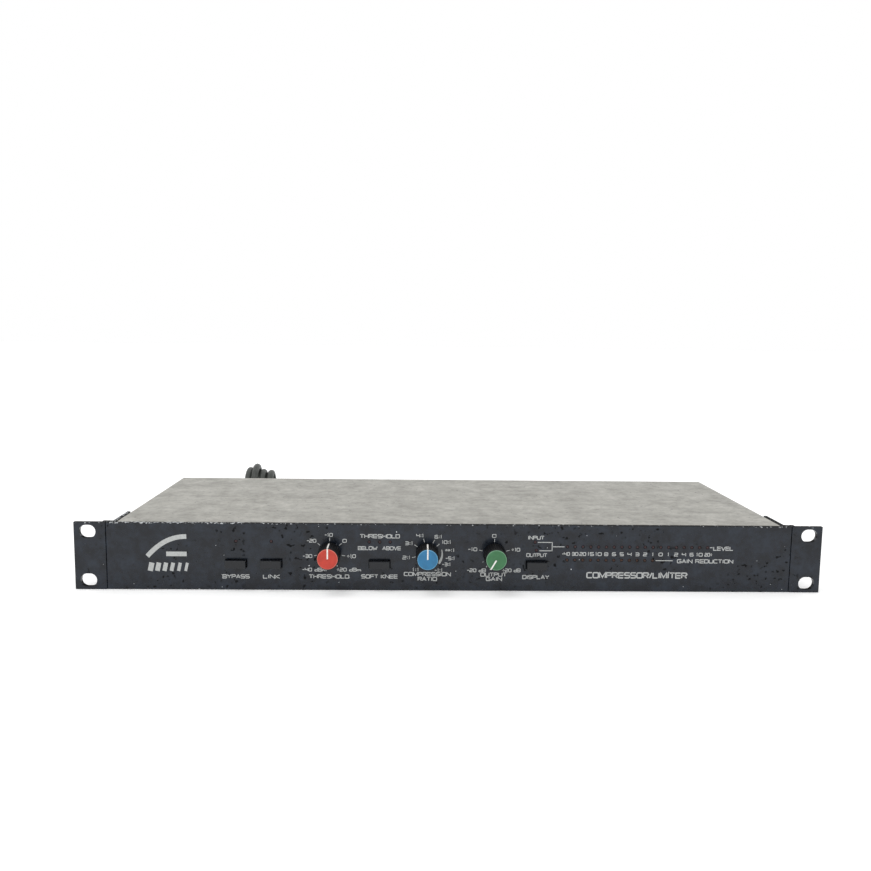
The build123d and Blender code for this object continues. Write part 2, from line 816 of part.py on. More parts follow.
# ---------------------------------------------------------------- mains lead
with BuildPart() as strain_relief:
    outline = [
        (0, rear_inside - 3.0),
        (gland_neck_diameter / 2 + 1.2, rear_inside - 3.0),
        (gland_neck_diameter / 2 + 1.2, rear_inside),
        (gland_neck_diameter / 2, rear_inside),
        (gland_neck_diameter / 2, chassis_depth),
        (gland_neck_diameter / 2 + 2.0, chassis_depth),
        (gland_neck_diameter / 2 + 2.0, chassis_depth + 2.5),
        (gland_neck_diameter / 2 - 0.6, chassis_depth + 4.0),
        (lead_diameter / 2 + 1.1, gland_end),
        (0, gland_end),
    ]
    with BuildSketch(Plane.XY.offset(gland_z)):
        with BuildLine():
            Polyline(*[(gland_x + r, y) for r, y in outline], close=True)
        make_face()
    revolve(axis=Axis((gland_x, 0, gland_z), (0, 1, 0)))
save(strain_relief, "strain_relief")

with BuildPart() as mains_lead:
    with BuildSketch(across(gland_end)):
        with Locations((gland_x, gland_z)):
            Circle(lead_diameter / 2)
    extrude(amount=gland_end - hank_start)
save(mains_lead, "mains_lead")

# The put-away length: a tied hank whose near folds stand up and whose far folds lie fanned out.
# Each section is (distance from the origin, left limit, right limit, height above the floor).
hank_sections = (
    (hank_start, -180.0, -138.0, 25.0),
    (hank_start + 7.0, -180.0, -137.0, 42.0),
    (hank_start + 25.0, -180.0, -136.0, 49.0),
    (hank_start + 43.0, -179.0, -135.0, 41.0),
    (waist_start, waist_left, waist_right, waist_height),
    (waist_end, waist_left, waist_right, waist_height),
    (waist_end + 16.0, -180.0, -106.0, 17.0),
    (waist_end + 32.0, -181.0, -91.0, 19.0),
    (waist_end + 50.0, -178.0, -93.0, 18.0),
    (waist_end + 60.0, -166.0, -104.0, 10.0),
)
with BuildPart() as cord_hank:
    for y, left, right, height in hank_sections:
        with BuildSketch(across(y)):
            with Locations(((left + right) / 2, floor_z + height / 2)):
                Rectangle(right - left, height)
    loft(ruled=True)
save(cord_hank, "cord_hank")

with BuildPart() as hank_tie:
    tie_width_start = (waist_start + waist_end - tie_width) / 2
    with BuildSketch(across(tie_width_start)):
        with Locations(((waist_left + waist_right) / 2, floor_z + waist_height / 2 + tie_thickness / 2)):
            Rectangle(waist_right - waist_left + 2 * tie_thickness, waist_height + tie_thickness)
        with Locations(((waist_left + waist_right) / 2, floor_z + waist_height / 2)):
            Rectangle(waist_right - waist_left, waist_height, mode=Mode.SUBTRACT)
    extrude(amount=-tie_width)
save(hank_tie, "hank_tie")

tail_points = (
    (-97.0, waist_end + 26.0, floor_z + 10.0),
    (-98.5, waist_end + 7.0, floor_z + 6.0),
    (-104.0, waist_end - 12.0, floor_z + 7.0),
    (plug_x, plug_end, plug_z),
)


def tangent_radii(points, share=0.45):
    """The arc at each corner: a share of the shorter run over the tangent of half the turn."""
    corners = [Vector(*point) for point in points]
    radii = []
    for before, here, after in zip(corners, corners[1:], corners[2:]):
        turn = radians((here - before).get_angle(after - here))
        shorter = min((here - before).length, (after - here).length)
        radii.append(share * shorter / tan(turn / 2))
    return radii


tail_radii = tangent_radii(tail_points)
print("tail radii", [round(radius, 1) for radius in tail_radii])
with BuildPart() as lead_tail:
    with BuildLine() as tail_path:
        FilletPolyline(*tail_points, radius=tail_radii)
    with BuildSketch(Plane(origin=tail_path.wire() @ 0, z_dir=tail_path.wire() % 0)):
        Circle(lead_diameter / 2)
    sweep()
tail_volume = pi * (lead_diameter / 2) ** 2 * tail_path.wire().length
print("tail volume ratio", round(lead_tail.part.volume / tail_volume, 4))
save(lead_tail, "lead_tail")

blade_size = (1.5, 16.0, 6.4)
blade_spacing = 12.7
ground_pin_diameter = 4.8
ground_pin_length = 19.0
ground_pin_drop = 11.0 * 0.5
blade_z = plug_z + ground_pin_drop
with BuildPart() as mains_plug:
    grip_end = plug_front + 24.0
    for y, width, height in (
        (plug_front, *plug_size),
        (grip_end, plug_size[0] - 3.0, plug_size[1] - 4.0),
        (plug_end - 10.0, 11.0, 11.0),
        (plug_end, lead_diameter + 1.6, lead_diameter + 1.6),
    ):
        with BuildSketch(across(y)):
            with Locations((plug_x, plug_z)):
                RectangleRounded(width, height, min(width, height) * 0.3)
    loft(ruled=True)
    for side in (-1, 1):
        block(
            around(plug_x + side * blade_spacing / 2, blade_size[0]),
            (plug_front - blade_size[1], plug_front),
            around(blade_z, blade_size[2]),
        )
    with BuildSketch(across(plug_front)):
        with Locations((plug_x, blade_z - 2 * ground_pin_drop)):
            Circle(ground_pin_diameter / 2)
    extrude(amount=ground_pin_length)
save(mains_plug, "mains_plug")
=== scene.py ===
"""Studio rack compressor: the looks built around the packed frame, laid out as an add-on."""

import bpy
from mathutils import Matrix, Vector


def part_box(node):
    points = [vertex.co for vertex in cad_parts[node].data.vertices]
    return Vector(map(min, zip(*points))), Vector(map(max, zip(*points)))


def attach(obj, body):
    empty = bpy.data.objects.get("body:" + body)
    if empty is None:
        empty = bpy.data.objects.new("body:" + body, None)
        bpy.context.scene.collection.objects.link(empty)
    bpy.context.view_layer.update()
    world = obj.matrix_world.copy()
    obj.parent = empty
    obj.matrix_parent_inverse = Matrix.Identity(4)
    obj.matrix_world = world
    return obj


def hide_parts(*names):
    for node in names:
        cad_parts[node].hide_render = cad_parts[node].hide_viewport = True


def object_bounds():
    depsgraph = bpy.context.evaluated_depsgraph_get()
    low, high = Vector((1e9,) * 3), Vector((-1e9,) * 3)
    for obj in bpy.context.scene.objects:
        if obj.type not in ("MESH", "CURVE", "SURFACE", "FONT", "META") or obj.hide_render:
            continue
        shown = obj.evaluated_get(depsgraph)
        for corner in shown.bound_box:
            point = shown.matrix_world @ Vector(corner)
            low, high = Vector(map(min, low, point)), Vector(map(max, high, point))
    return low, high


bl_info = {
    "name": "Rack Compressor Builder",
    "version": (1, 0, 0),
    "blender": (4, 5, 0),
    "location": "View3D > Sidebar > Rack",
    "description": "Finishes, legends, knobs, screws and mains lead of a one-unit rack compressor",
    "category": "Object",
}

import math

import bmesh
import bpy
from bpy.props import FloatProperty, FloatVectorProperty, IntProperty, PointerProperty, StringProperty
from mathutils import Matrix, Vector

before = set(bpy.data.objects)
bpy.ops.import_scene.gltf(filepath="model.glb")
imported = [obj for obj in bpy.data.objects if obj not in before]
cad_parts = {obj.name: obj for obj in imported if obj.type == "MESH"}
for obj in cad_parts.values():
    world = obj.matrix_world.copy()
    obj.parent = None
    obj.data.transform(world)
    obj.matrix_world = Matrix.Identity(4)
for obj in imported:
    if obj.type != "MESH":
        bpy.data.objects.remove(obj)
cad_box = [list(corner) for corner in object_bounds()]

MM = 0.001
BODY = "root"
KNOBS = ("threshold", "ratio", "gain")
BUTTONS = ("bypass", "link", "knee", "display")


# ---------------------------------------------------------------- measures read from the frame
def middle(node):
    """Centre of a CAD node's box."""
    low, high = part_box(node)
    return Vector([(a + b) / 2 for a, b in zip(low, high)])


PANEL_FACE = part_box("rack_ear_right")[0][1]
PANEL_LOW, PANEL_HIGH = (corner[2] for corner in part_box("rack_ear_right"))
REAR_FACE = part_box("chassis_tray")[1][1]
PANEL_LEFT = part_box("front_panel")[0][0]
LEFT_WEAR_END = PANEL_LEFT + 131 * MM
KNOB_CENTRES = {name: middle(f"knob_{name}") for name in KNOBS}
POINTER_ANGLES = {"threshold": 0.0, "ratio": 0.0, "gain": math.radians(-150)}
BUTTON_CENTRES = {name: middle(f"button_{name}") for name in BUTTONS}


# ---------------------------------------------------------------- settings
def size_setting(name, description, default):
    """A size setting in metres."""
    return FloatProperty(name=name, description=description, unit="LENGTH", default=default)


def colour_setting(name, description, default):
    """A colour setting, kept as sRGB hex."""
    return StringProperty(name=name, description=f"{description}, sRGB hex", default=default)


def angle_setting(name, description, degrees):
    """An angle setting, given in degrees."""
    default = math.radians(degrees)
    return FloatProperty(name=name, description=description, subtype="ANGLE", default=default)


class StageSettings(bpy.types.PropertyGroup):
    """Camera, floor and light."""

    camera_place: FloatVectorProperty(
        name="Camera place",
        description="Where the camera stands, in metres",
        subtype="TRANSLATION",
        default=(-0.02685, -0.54493, 0.14702),
    )
    camera_turn: angle_setting("Turn", "How far the camera turns to the right", 1.6)
    camera_tilt: angle_setting("Tilt", "How far the camera looks down", 7.1)
    camera_roll: angle_setting("Roll", "How far the camera leans over", 0.75)
    view_angle: angle_setting("View angle", "How wide the camera sees, side to side", 53.63)
    floor_size: size_setting("Floor size", "Side of the square floor", 14.0)
    floor_colour: colour_setting("Floor colour", "Paper", "#fafafa")
    floor_glow: FloatProperty(
        name="Floor glow", description="Light given off by the lit paper, so shadows stay faint", default=0.22
    )
    sky_strength: FloatProperty(
        name="Sky strength", description="Brightness of the white surround", default=1.0
    )
    key_power: FloatProperty(
        name="Key light", description="Power of the light over the left side, in watts", default=3.2
    )


class FinishSettings(bpy.types.PropertyGroup):
    """Colours of the painted and moulded pieces."""

    panel_enamel: colour_setting("Panel enamel", "Front panel and ears", "#0a0f17")
    # Painted glare: the cover's enamel is dark, and this pale grey stands in for the shine it gives.
    cover_enamel: colour_setting("Cover enamel", "Top cover", "#97958d")
    tray_enamel: colour_setting("Tray enamel", "Chassis tray", "#1b1c1f")
    legend_ink: colour_setting("Legend ink", "Printed legends", "#b2b4b3")
    pointer_paint: colour_setting("Pointer paint", "White line on each knob", "#ecebe6")
    knob_nylon: colour_setting("Knob nylon", "Fluted knob bodies", "#08080a")
    button_abs: colour_setting("Button plastic", "Push buttons", "#131519")
    cap_threshold: colour_setting("Threshold cap", "Inlay of the left knob", "#ab3122")
    cap_ratio: colour_setting("Ratio cap", "Inlay of the middle knob", "#226790")
    cap_gain: colour_setting("Gain cap", "Inlay of the right knob", "#326740")
    # The three rim colours below are painted highlights: pale rings for light caught on each cap's edge.
    bead_threshold: colour_setting("Threshold bead", "Worn edge of the left cap", "#c4695c")
    bead_ratio: colour_setting("Ratio bead", "Worn edge of the middle cap", "#5b93b4")
    bead_gain: colour_setting("Gain bead", "Worn edge of the right cap", "#6c9477")


class LegendSettings(bpy.types.PropertyGroup):
    """Printed legends."""

    ink_thickness: size_setting("Ink thickness", "How far the ink stands up", 0.05 * MM)
    label_height: size_setting("Label height", "Capitals naming a control", 2.2 * MM)
    figure_height: size_setting("Figure height", "Figures round a dial", 2.0 * MM)
    title_height: size_setting("Title height", "Capitals of the title", 3.4 * MM)
    weight: FloatProperty(
        name="Weight", description="Width of a stroke over the letter's height", default=0.245
    )


class KnobSettings(bpy.types.PropertyGroup):
    """Fluted knobs."""

    flutes: IntProperty(name="Flutes", description="Grooves round a knob", default=28)
    flute_depth: size_setting("Flute depth", "How deep a groove goes", 0.42 * MM)
    lip: size_setting("Lip width", "Rim round the coloured cap", 0.45 * MM)
    pointer_width: size_setting("Pointer width", "Width of the white line", 0.9 * MM)


class LeadSettings(bpy.types.PropertyGroup):
    """Mains lead."""

    diameter: size_setting("Diameter", "Outside of the jacket", 6.0 * MM)
    length: size_setting("Length", "Sleeve to plug, laid out straight", 1.8)
    colour: colour_setting("Colour", "Jacket vinyl", "#383b38")


SETTINGS = {
    "rack_stage": StageSettings,
    "rack_finish": FinishSettings,
    "rack_legend": LegendSettings,
    "rack_knob": KnobSettings,
    "rack_lead": LeadSettings,
}


# ---------------------------------------------------------------- materials
NOISE = "ShaderNodeTexNoise"    # place, W, scale, detail, roughness
SPREAD = "ShaderNodeMapRange"   # value, from low, from high, to low, to high
MATH = "ShaderNodeMath"
MIX = "ShaderNodeMix"           # 0 factor, 6 and 7 the two colours, gives 2
BUMP = "ShaderNodeBump"


def linear(text):
    """An sRGB hex colour as linear RGBA."""
    values = [int(text[i : i + 2], 16) / 255 for i in (1, 3, 5)]
    return [v / 12.92 if v <= 0.04045 else ((v + 0.055) / 1.055) ** 2.4 for v in values] + [1.0]


def shade(colour, share):
    """The colour made darker or lighter by a share of itself."""
    return [min(1.0, share * value) for value in list(colour)[:3]] + [1.0]


def per(size):
    """Texture scale for a feature of that size in metres."""
    return 1.0 / size


def add_node(tree, kind, inputs=(), give=0, **settings):
    """Adds a node with its settings and links, and returns the output asked for by name or number.
    Inputs are values or feeding sockets: in socket order with None to skip one, or keyed by socket."""
    node = tree.nodes.new(kind)
    for key, value in settings.items():
        setattr(node, key, value)
    for key, value in inputs.items() if isinstance(inputs, dict) else enumerate(inputs):
        if isinstance(value, bpy.types.NodeSocket):
            tree.links.new(value, node.inputs[key])
        elif value is not None:
            node.inputs[key].default_value = value
    return node.outputs[give]


def new_material(name, **values):
    """A material with one Principled shader whose uniform values are set on its own sockets."""
    material = bpy.data.materials.new(name)
    material.use_nodes = True
    tree = material.node_tree
    shader = tree.nodes["Principled BSDF"]
    for key, value in values.items():
        shader.inputs[key.replace("_", " ")].default_value = value
    place = add_node(tree, "ShaderNodeTexCoord", give="Object")
    return material, tree, shader, place


def join(tree, shader, **sockets):
    """Feeds the shader's named inputs."""
    for key, socket in sockets.items():
        tree.links.new(socket, shader.inputs[key.replace("_", " ")])


def worn_enamel(name, colour, edge_low, edge_high):
    """Baked semi-gloss enamel on aluminium: mirrors the black knobs softly, with a cloudy grey bloom,
    black glue specks in patches, painted shade on matt faces that look up and bright chips where it has been
    knocked."""
    material, tree, shader, place = new_material(name, IOR=1.5, Specular_IOR_Level=0.37)
    base = linear(colour)
    bloom = add_node(tree, NOISE, [place, None, per(7 * MM), 6.0, 0.65])
    bloom = add_node(tree, SPREAD, [bloom, 0.38, 0.72])
    tone = add_node(tree, MIX, {0: bloom, 6: base, 7: linear("#202833")}, 2, data_type="RGBA")
    patches = add_node(tree, NOISE, [place, None, per(38 * MM), 2.0, 0.5])
    patches = add_node(tree, SPREAD, [patches, 0.46, 0.56])
    fleck = add_node(tree, NOISE, [place, None, per(3.0 * MM), 2.5, 0.5])
    fleck = add_node(tree, SPREAD, [fleck, 0.61, 0.64])
    glue = add_node(tree, MATH, [fleck, patches], operation="MULTIPLY")
    tone = add_node(tree, MIX, {0: glue, 6: tone, 7: linear("#040507")}, 2, data_type="RGBA")
    # Painted shade: faces that look up are painted near black, and the same mask makes them matt.
    facing = add_node(tree, "ShaderNodeNewGeometry", give="Normal")
    upward_shade_and_matt = add_node(tree, "ShaderNodeSeparateXYZ", [facing], "Z")
    upward_shade_and_matt = add_node(tree, SPREAD, [upward_shade_and_matt, 0.6, 0.8])
    tone = add_node(tree, MIX, {0: upward_shade_and_matt, 6: tone, 7: linear("#050506")}, 2, data_type="RGBA")
    height = add_node(tree, "ShaderNodeSeparateXYZ", [place], "Z")
    near_edge = add_node(tree, SPREAD, [height, edge_low, edge_high])
    knock = add_node(tree, NOISE, [place, None, per(2.4 * MM), 3.0, 0.7])
    across = add_node(tree, "ShaderNodeSeparateXYZ", [place], "X")
    more = add_node(tree, SPREAD, [across, LEFT_WEAR_END, LEFT_WEAR_END - 60 * MM, 0.0, 0.1])
    on_panel = add_node(tree, MATH, [across, PANEL_LEFT], operation="GREATER_THAN")
    more = add_node(tree, MATH, [more, on_panel], operation="MULTIPLY")
    more = add_node(tree, MATH, [more, near_edge], operation="MULTIPLY")
    knock = add_node(tree, MATH, [knock, more], operation="ADD")
    knock = add_node(tree, SPREAD, [knock, 0.62, 0.65])
    bare = add_node(tree, MATH, [near_edge, knock], operation="MULTIPLY")
    nick = add_node(tree, NOISE, [place, None, per(1.6 * MM), 0.0])
    nick = add_node(tree, SPREAD, [nick, 0.862, 0.875])
    bare = add_node(tree, MATH, [bare, nick], operation="MAXIMUM")
    tone = add_node(tree, MIX, {0: bare, 6: tone, 7: linear("#c9ccce")}, 2, data_type="RGBA")
    scuff = add_node(tree, NOISE, [place, None, per(14 * MM), 6.0, 0.7])
    rough = add_node(tree, SPREAD, [scuff, 0.3, 0.75, 0.1, 0.27])
    dull = add_node(tree, MATH, [glue, upward_shade_and_matt], operation="MAXIMUM")
    dull = add_node(tree, MATH, [dull, 0.85], operation="MULTIPLY")
    peel = add_node(tree, NOISE, [place, None, per(1.1 * MM), 2.0])
    join(
        tree,
        shader,
        Base_Color=tone,
        Roughness=add_node(tree, MATH, [rough, dull], operation="ADD"),
        Metallic=add_node(tree, MATH, [bare, 0.8], operation="MULTIPLY"),
        Normal=add_node(tree, BUMP, {"Height": peel, "Distance": 0.015 * MM, "Strength": 0.5}),
    )
    return material


def dust_and_glare_enamel(colour):
    """Thin dark enamel on sheet steel, years of dust rubbed into it, coloured pale grey as painted glare:
    cloudy grey smudges in a fine grit, faint wipe marks from side to side and small dark scabs."""
    material, tree, shader, place = new_material("dusty_grey_enamel", IOR=1.5, Specular_IOR_Level=0.5)
    # Painted glare: this pale base stands in for the shine of dark enamel; the mottles below are dust.
    base = linear(colour)
    clouds = add_node(tree, NOISE, [place, None, per(15 * MM), 8.0, 0.74])
    spread = add_node(tree, SPREAD, [clouds, 0.36, 0.66])
    ends = {0: spread, 6: shade(base, 0.74), 7: shade(base, 1.2)}
    tone = add_node(tree, MIX, ends, 2, data_type="RGBA")
    stretched = add_node(tree, "ShaderNodeMapping", {"Vector": place, "Scale": (0.12, 1.0, 1.0)}, "Vector")
    wipes = add_node(tree, NOISE, [stretched, None, per(5 * MM), 3.0, 0.6])
    wipes = add_node(tree, SPREAD, [wipes, 0.5, 0.78, 0.0, 0.6])
    tone = add_node(tree, MIX, {0: wipes, 6: tone, 7: shade(base, 0.62)}, 2, data_type="RGBA")
    smudge = add_node(tree, NOISE, [place, None, per(3.2 * MM), 5.0, 0.72])
    smudge = add_node(tree, SPREAD, [smudge, 0.5, 0.74, 0.0, 0.8])
    tone = add_node(tree, MIX, {0: smudge, 6: tone, 7: shade(base, 0.45)}, 2, data_type="RGBA")
    scab = add_node(tree, NOISE, [place, None, per(2.6 * MM), 2.0])
    scab = add_node(tree, SPREAD, [scab, 0.7, 0.74])
    tone = add_node(tree, MIX, {0: scab, 6: tone, 7: linear("#2c2c2b")}, 2, data_type="RGBA")
    grit = add_node(tree, NOISE, [place, None, per(0.9 * MM), 2.0])
    join(
        tree,
        shader,
        Base_Color=tone,
        Roughness=add_node(tree, SPREAD, [clouds, 0.3, 0.7, 0.52, 0.34]),
        Normal=add_node(tree, BUMP, {"Height": grit, "Distance": 0.05 * MM, "Strength": 0.5}),
    )
    return material


def moulded(name, colour, roughness, grain=0.35 * MM, depth=0.012 * MM, level=0.45):
    """Injection-moulded plastic: an even colour with a faint flow mottle and a fine spark-eroded grain."""
    material, tree, shader, place = new_material(name, IOR=1.49, Specular_IOR_Level=level)
    base = linear(colour)
    flow = add_node(tree, SPREAD, [add_node(tree, NOISE, [place, None, per(4 * MM), 3.0]), 0.35, 0.7])
    sheen = add_node(tree, NOISE, [place, None, per(2.5 * MM), 4.0])
    fine = add_node(tree, NOISE, [place, None, per(grain), 2.0])
    join(
        tree,
        shader,
        Base_Color=add_node(tree, MIX, {0: flow, 6: base, 7: shade(base, 1.25)}, 2, data_type="RGBA"),
        Roughness=add_node(tree, SPREAD, [sheen, 0.3, 0.7, roughness - 0.06, roughness + 0.08]),
        Normal=add_node(tree, BUMP, {"Height": fine, "Distance": depth, "Strength": 0.6}),
    )
    return material


def plated(name, colour, roughness, streak):
    """Plated or bright metal: reflective, with fine machining streaks and slight tarnish."""
    material, tree, shader, place = new_material(name, Metallic=1.0)
    base = linear(colour)
    tarnish = add_node(tree, NOISE, [place, None, per(3 * MM), 5.0, 0.65])
    tarnish = add_node(tree, SPREAD, [tarnish, 0.45, 0.75])
    worn = add_node(tree, NOISE, [place, None, per(1.5 * MM), 3.0])
    fine = add_node(tree, NOISE, [place, None, per(streak), 1.0])
    join(
        tree,
        shader,
        Base_Color=add_node(tree, MIX, {0: tarnish, 6: base, 7: shade(base, 0.62)}, 2, data_type="RGBA"),
        Roughness=add_node(tree, SPREAD, [worn, 0.3, 0.7, roughness, roughness + 0.16]),
        Normal=add_node(tree, BUMP, {"Height": fine, "Distance": 0.008 * MM, "Strength": 0.5}),
    )
    return material


def printed_ink(name, colour):
    """Screen-printed epoxy ink: flat off-white, greyer where the mesh left it thin."""
    material, tree, shader, place = new_material(name, IOR=1.45, Specular_IOR_Level=0.3)
    base = linear(colour)
    wear = add_node(tree, NOISE, [place, None, per(0.9 * MM), 4.0, 0.7])
    wear = add_node(tree, SPREAD, [wear, 0.5, 0.75])
    join(
        tree,
        shader,
        Base_Color=add_node(tree, MIX, {0: wear, 6: base, 7: shade(base, 0.7)}, 2, data_type="RGBA"),
        Roughness=add_node(tree, SPREAD, [wear, 0.0, 1.0, 0.5, 0.75]),
    )
    return material


def clear_lamp(name, colour, passing=0.0):
    """Tinted epoxy or glass: glossy, with a cloudy core, see-through where passing says so."""
    material, tree, shader, place = new_material(
        name, IOR=1.5, Roughness=0.2, Transmission_Weight=passing, Specular_IOR_Level=0.35
    )
    base = linear(colour)
    cloud = add_node(tree, NOISE, [place, None, per(0.8 * MM), 2.0])
    cloud = add_node(tree, SPREAD, [cloud, 0.4, 0.65])
    tone = add_node(tree, MIX, {0: cloud, 6: base, 7: shade(base, 1.6)}, 2, data_type="RGBA")
    join(tree, shader, Base_Color=tone)
    return material


def circuit_laminate():
    """Epoxy-glass board under green mask: copper tracks show as paler lines on a 5.08 mm grid."""
    material, tree, shader, place = new_material("masked_laminate", IOR=1.5, Coat_Weight=0.3)
    cells = {"Vector": place, "Scale": per(5.08 * MM), "Randomness": 0.55}
    cells = add_node(tree, "ShaderNodeTexVoronoi", cells, "Distance", distance="MANHATTAN")
    track = add_node(tree, SPREAD, [cells, 0.3, 0.34])
    ends = {0: track, 6: linear("#1f5a33"), 7: linear("#123f22")}
    blotch = add_node(tree, NOISE, [place, None, per(2 * MM)])
    join(
        tree,
        shader,
        Base_Color=add_node(tree, MIX, ends, 2, data_type="RGBA"),
        Roughness=add_node(tree, SPREAD, [blotch, 0.3, 0.7, 0.3, 0.42]),
        Normal=add_node(tree, BUMP, {"Height": track, "Distance": 0.03 * MM, "Strength": 0.6}),
    )
    return material


def jacket_vinyl(colour):
    """Soft vinyl jacket: dull grey-green with dust in a faint extrusion grain."""
    material, tree, shader, place = new_material("jacket_vinyl", IOR=1.48, Specular_IOR_Level=0.4)
    base = linear(colour)
    dust = add_node(tree, NOISE, [place, None, per(7 * MM), 6.0, 0.7])
    dust = add_node(tree, SPREAD, [dust, 0.45, 0.8, 0.0, 0.7])
    grain = add_node(tree, NOISE, [place, None, per(0.6 * MM), 3.0])
    ends = {0: dust, 6: base, 7: linear("#5d605c")}
    join(
        tree,
        shader,
        Base_Color=add_node(tree, MIX, ends, 2, data_type="RGBA"),
        Roughness=add_node(tree, SPREAD, [dust, 0.0, 0.7, 0.42, 0.62]),
        Normal=add_node(tree, BUMP, {"Height": grain, "Distance": 0.02 * MM, "Strength": 0.6}),
    )
    return material


# Each finish is named for the real material and how it was made, or for the painted light it stands in for.
# A colour is sRGB hex, or the name of its setting. For a moulding: colour, roughness, then what differs from
# an ordinary grain.
MOULDED = {
    # baked enamel over sheet steel: near-black with a coarse orange peel that breaks up the shine
    "grained_black_enamel": ("tray_enamel", 0.45, {"grain": 0.8 * MM, "depth": 0.03 * MM}),
    # glass-filled nylon: nearly black, with a dull bloom
    "moulded_nylon": ("knob_nylon", 0.42, {"level": 0.3}),
    # matt inlays pressed into the knobs: flat, strong colour
    "cap_threshold": ("cap_threshold", 0.4, {}),
    "cap_ratio": ("cap_ratio", 0.4, {}),
    "cap_gain": ("cap_gain", 0.4, {}),
    # the same inlays made pale round the edge as a painted highlight on the cap's rim
    "bead_threshold": ("bead_threshold", 0.3, {}),
    "bead_ratio": ("bead_ratio", 0.3, {}),
    "bead_gain": ("bead_gain", 0.3, {}),
    # moulded ABS: satin, as dark as the panel round it
    "button_plastic": ("button_abs", 0.3, {"grain": 0.5 * MM, "level": 0.4}),
    # dipped and moulded resins inside the case
    "case_resin": ("#22386a", 0.4, {}),
    "epoxy_black": ("#121214", 0.5, {}),
    # phenolic: dull black with a coarse grain
    "phenolic_black": ("#0c0c0d", 0.45, {"grain": 0.7 * MM, "level": 0.3}),
    # shrunk vinyl sleeve: glossy dark blue
    "shrink_sleeve": ("#1a2c55", 0.25, {}),
    # polyester tape: glossy yellow with the turns of wire showing through
    "polyester_tape": ("#c9a63a", 0.35, {"grain": 1.0 * MM}),
    # grey vinyl ribbon, its ribs one wire (1.27 mm) apart
    "ribbed_vinyl": ("#9a9b9d", 0.45, {"grain": 1.27 * MM, "depth": 0.2 * MM}),
}
# For a metal: colour, roughness and the length of its streaks.
PLATED = {
    # black chromate over zinc: dark metal with a low shine
    "black_zinc": ("#2b2c30", 0.32, 0.25 * MM),
    # clear chromate over zinc: pale grey metal, slightly blotched
    "zinc_plate": ("#b9bab6", 0.28, 0.25 * MM),
    # bright nickel: warm near-mirror on nuts and cans
    "nickel_plate": ("#cfc9bd", 0.16, 0.25 * MM),
    # rolled brass: yellow blades with rubbed faces
    "brass_blade": ("#c9b27a", 0.22, 0.25 * MM),
    # turned aluminium: pale metal with fine tool lines
    "turned_aluminium": ("#c8cacc", 0.25, 0.25 * MM),
    # varnished laminations: brown metal, dull
    "core_varnish": ("#5b4c43", 0.45, 0.5 * MM),
}
MAKERS = {
    "scuffed_black_enamel": lambda name, look: worn_enamel(
        name, look.panel_enamel, PANEL_HIGH - 0.9 * MM, PANEL_HIGH - 0.1 * MM
    ),
    "dusty_grey_enamel": lambda name, look: dust_and_glare_enamel(look.cover_enamel),
    "clear_glass": lambda name, look: clear_lamp(name, "#c9d2d2", 0.4),
    "red_epoxy": lambda name, look: clear_lamp(name, "#2c191b"),
    "amber_epoxy": lambda name, look: clear_lamp(name, "#2e1a10"),
    "masked_laminate": lambda name, look: circuit_laminate(),
    "printed_ink": lambda name, look: printed_ink(name, look.legend_ink),
    "pointer_paint": lambda name, look: printed_ink(name, look.pointer_paint),
    "jacket_vinyl": lambda name, look: jacket_vinyl(bpy.context.scene.rack_lead.colour),
}


def finish(name):
    """The named finish, made the first time it is asked for."""
    look = bpy.context.scene.rack_finish
    if name in bpy.data.materials:
        return bpy.data.materials[name]
    if name in MOULDED:
        paint, roughness, extra = MOULDED[name]
        return moulded(name, paint if paint.startswith("#") else getattr(look, paint), roughness, **extra)
    if name in PLATED:
        return plated(name, *PLATED[name])
    return MAKERS[name](name, look)


NODE_FINISHES = {
    "scuffed_black_enamel": ["front_panel", "rack_ear_left", "rack_ear_right"],
    "dusty_grey_enamel": ["top_cover"],
    "grained_black_enamel": ["chassis_tray"],
    "zinc_plate": ["panel_nuts", "board_screws", "transformer_screws", "standoffs", "terminal_screws"],
    "turned_aluminium": ["shaft_threshold", "shaft_ratio", "shaft_gain", "heatsink"],
    "nickel_plate": ["pot_nuts", "jack_nuts", "fuse_clips", "gain_cell", "level_detector"],
    "cap_threshold": ["cap_threshold"],
    "cap_ratio": ["cap_ratio"],
    "cap_gain": ["cap_gain"],
    "button_plastic": [f"button_{name}" for name in BUTTONS],
    "case_resin": [f"pot_{name}" for name in KNOBS] + ["trim_pots"],
    "phenolic_black": ["phone_jacks", "terminal_strips"] + [f"switch_{name}" for name in BUTTONS],
    "red_epoxy": ["leds_level", "leds_indicator"],
    "amber_epoxy": ["leds_reduction"],
    "masked_laminate": ["front_board", "main_board"],
    "ribbed_vinyl": ["ribbon_cable"],
    "core_varnish": ["transformer_core"],
    "polyester_tape": ["transformer_winding"],
    "shrink_sleeve": ["filter_capacitors"],
    "epoxy_black": ["rectifier_diodes", "regulators", "amplifier_chips"],
    "clear_glass": ["fuse"],
}


# ---------------------------------------------------------------- mesh tools
def add_piece(name, mesh, material, body=BODY):
    """Links a mesh or curve as a piece of the object, with its finish, slot and body."""
    piece = bpy.data.objects.new(name, mesh)
    bpy.context.scene.collection.objects.link(piece)
    mesh.materials.append(finish(material))
    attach(piece, body)
    return piece


def mesh_from(name, builder, smooth_angle=None):
    """Turns a bmesh into a mesh with outward faces, smooth below the given angle in degrees."""
    bmesh.ops.recalc_face_normals(builder, faces=builder.faces)
    mesh = bpy.data.meshes.new(name)
    builder.to_mesh(mesh)
    builder.free()
    if smooth_angle is not None:
        mesh.shade_smooth()
        mesh.set_sharp_from_angle(angle=math.radians(smooth_angle))
    return mesh


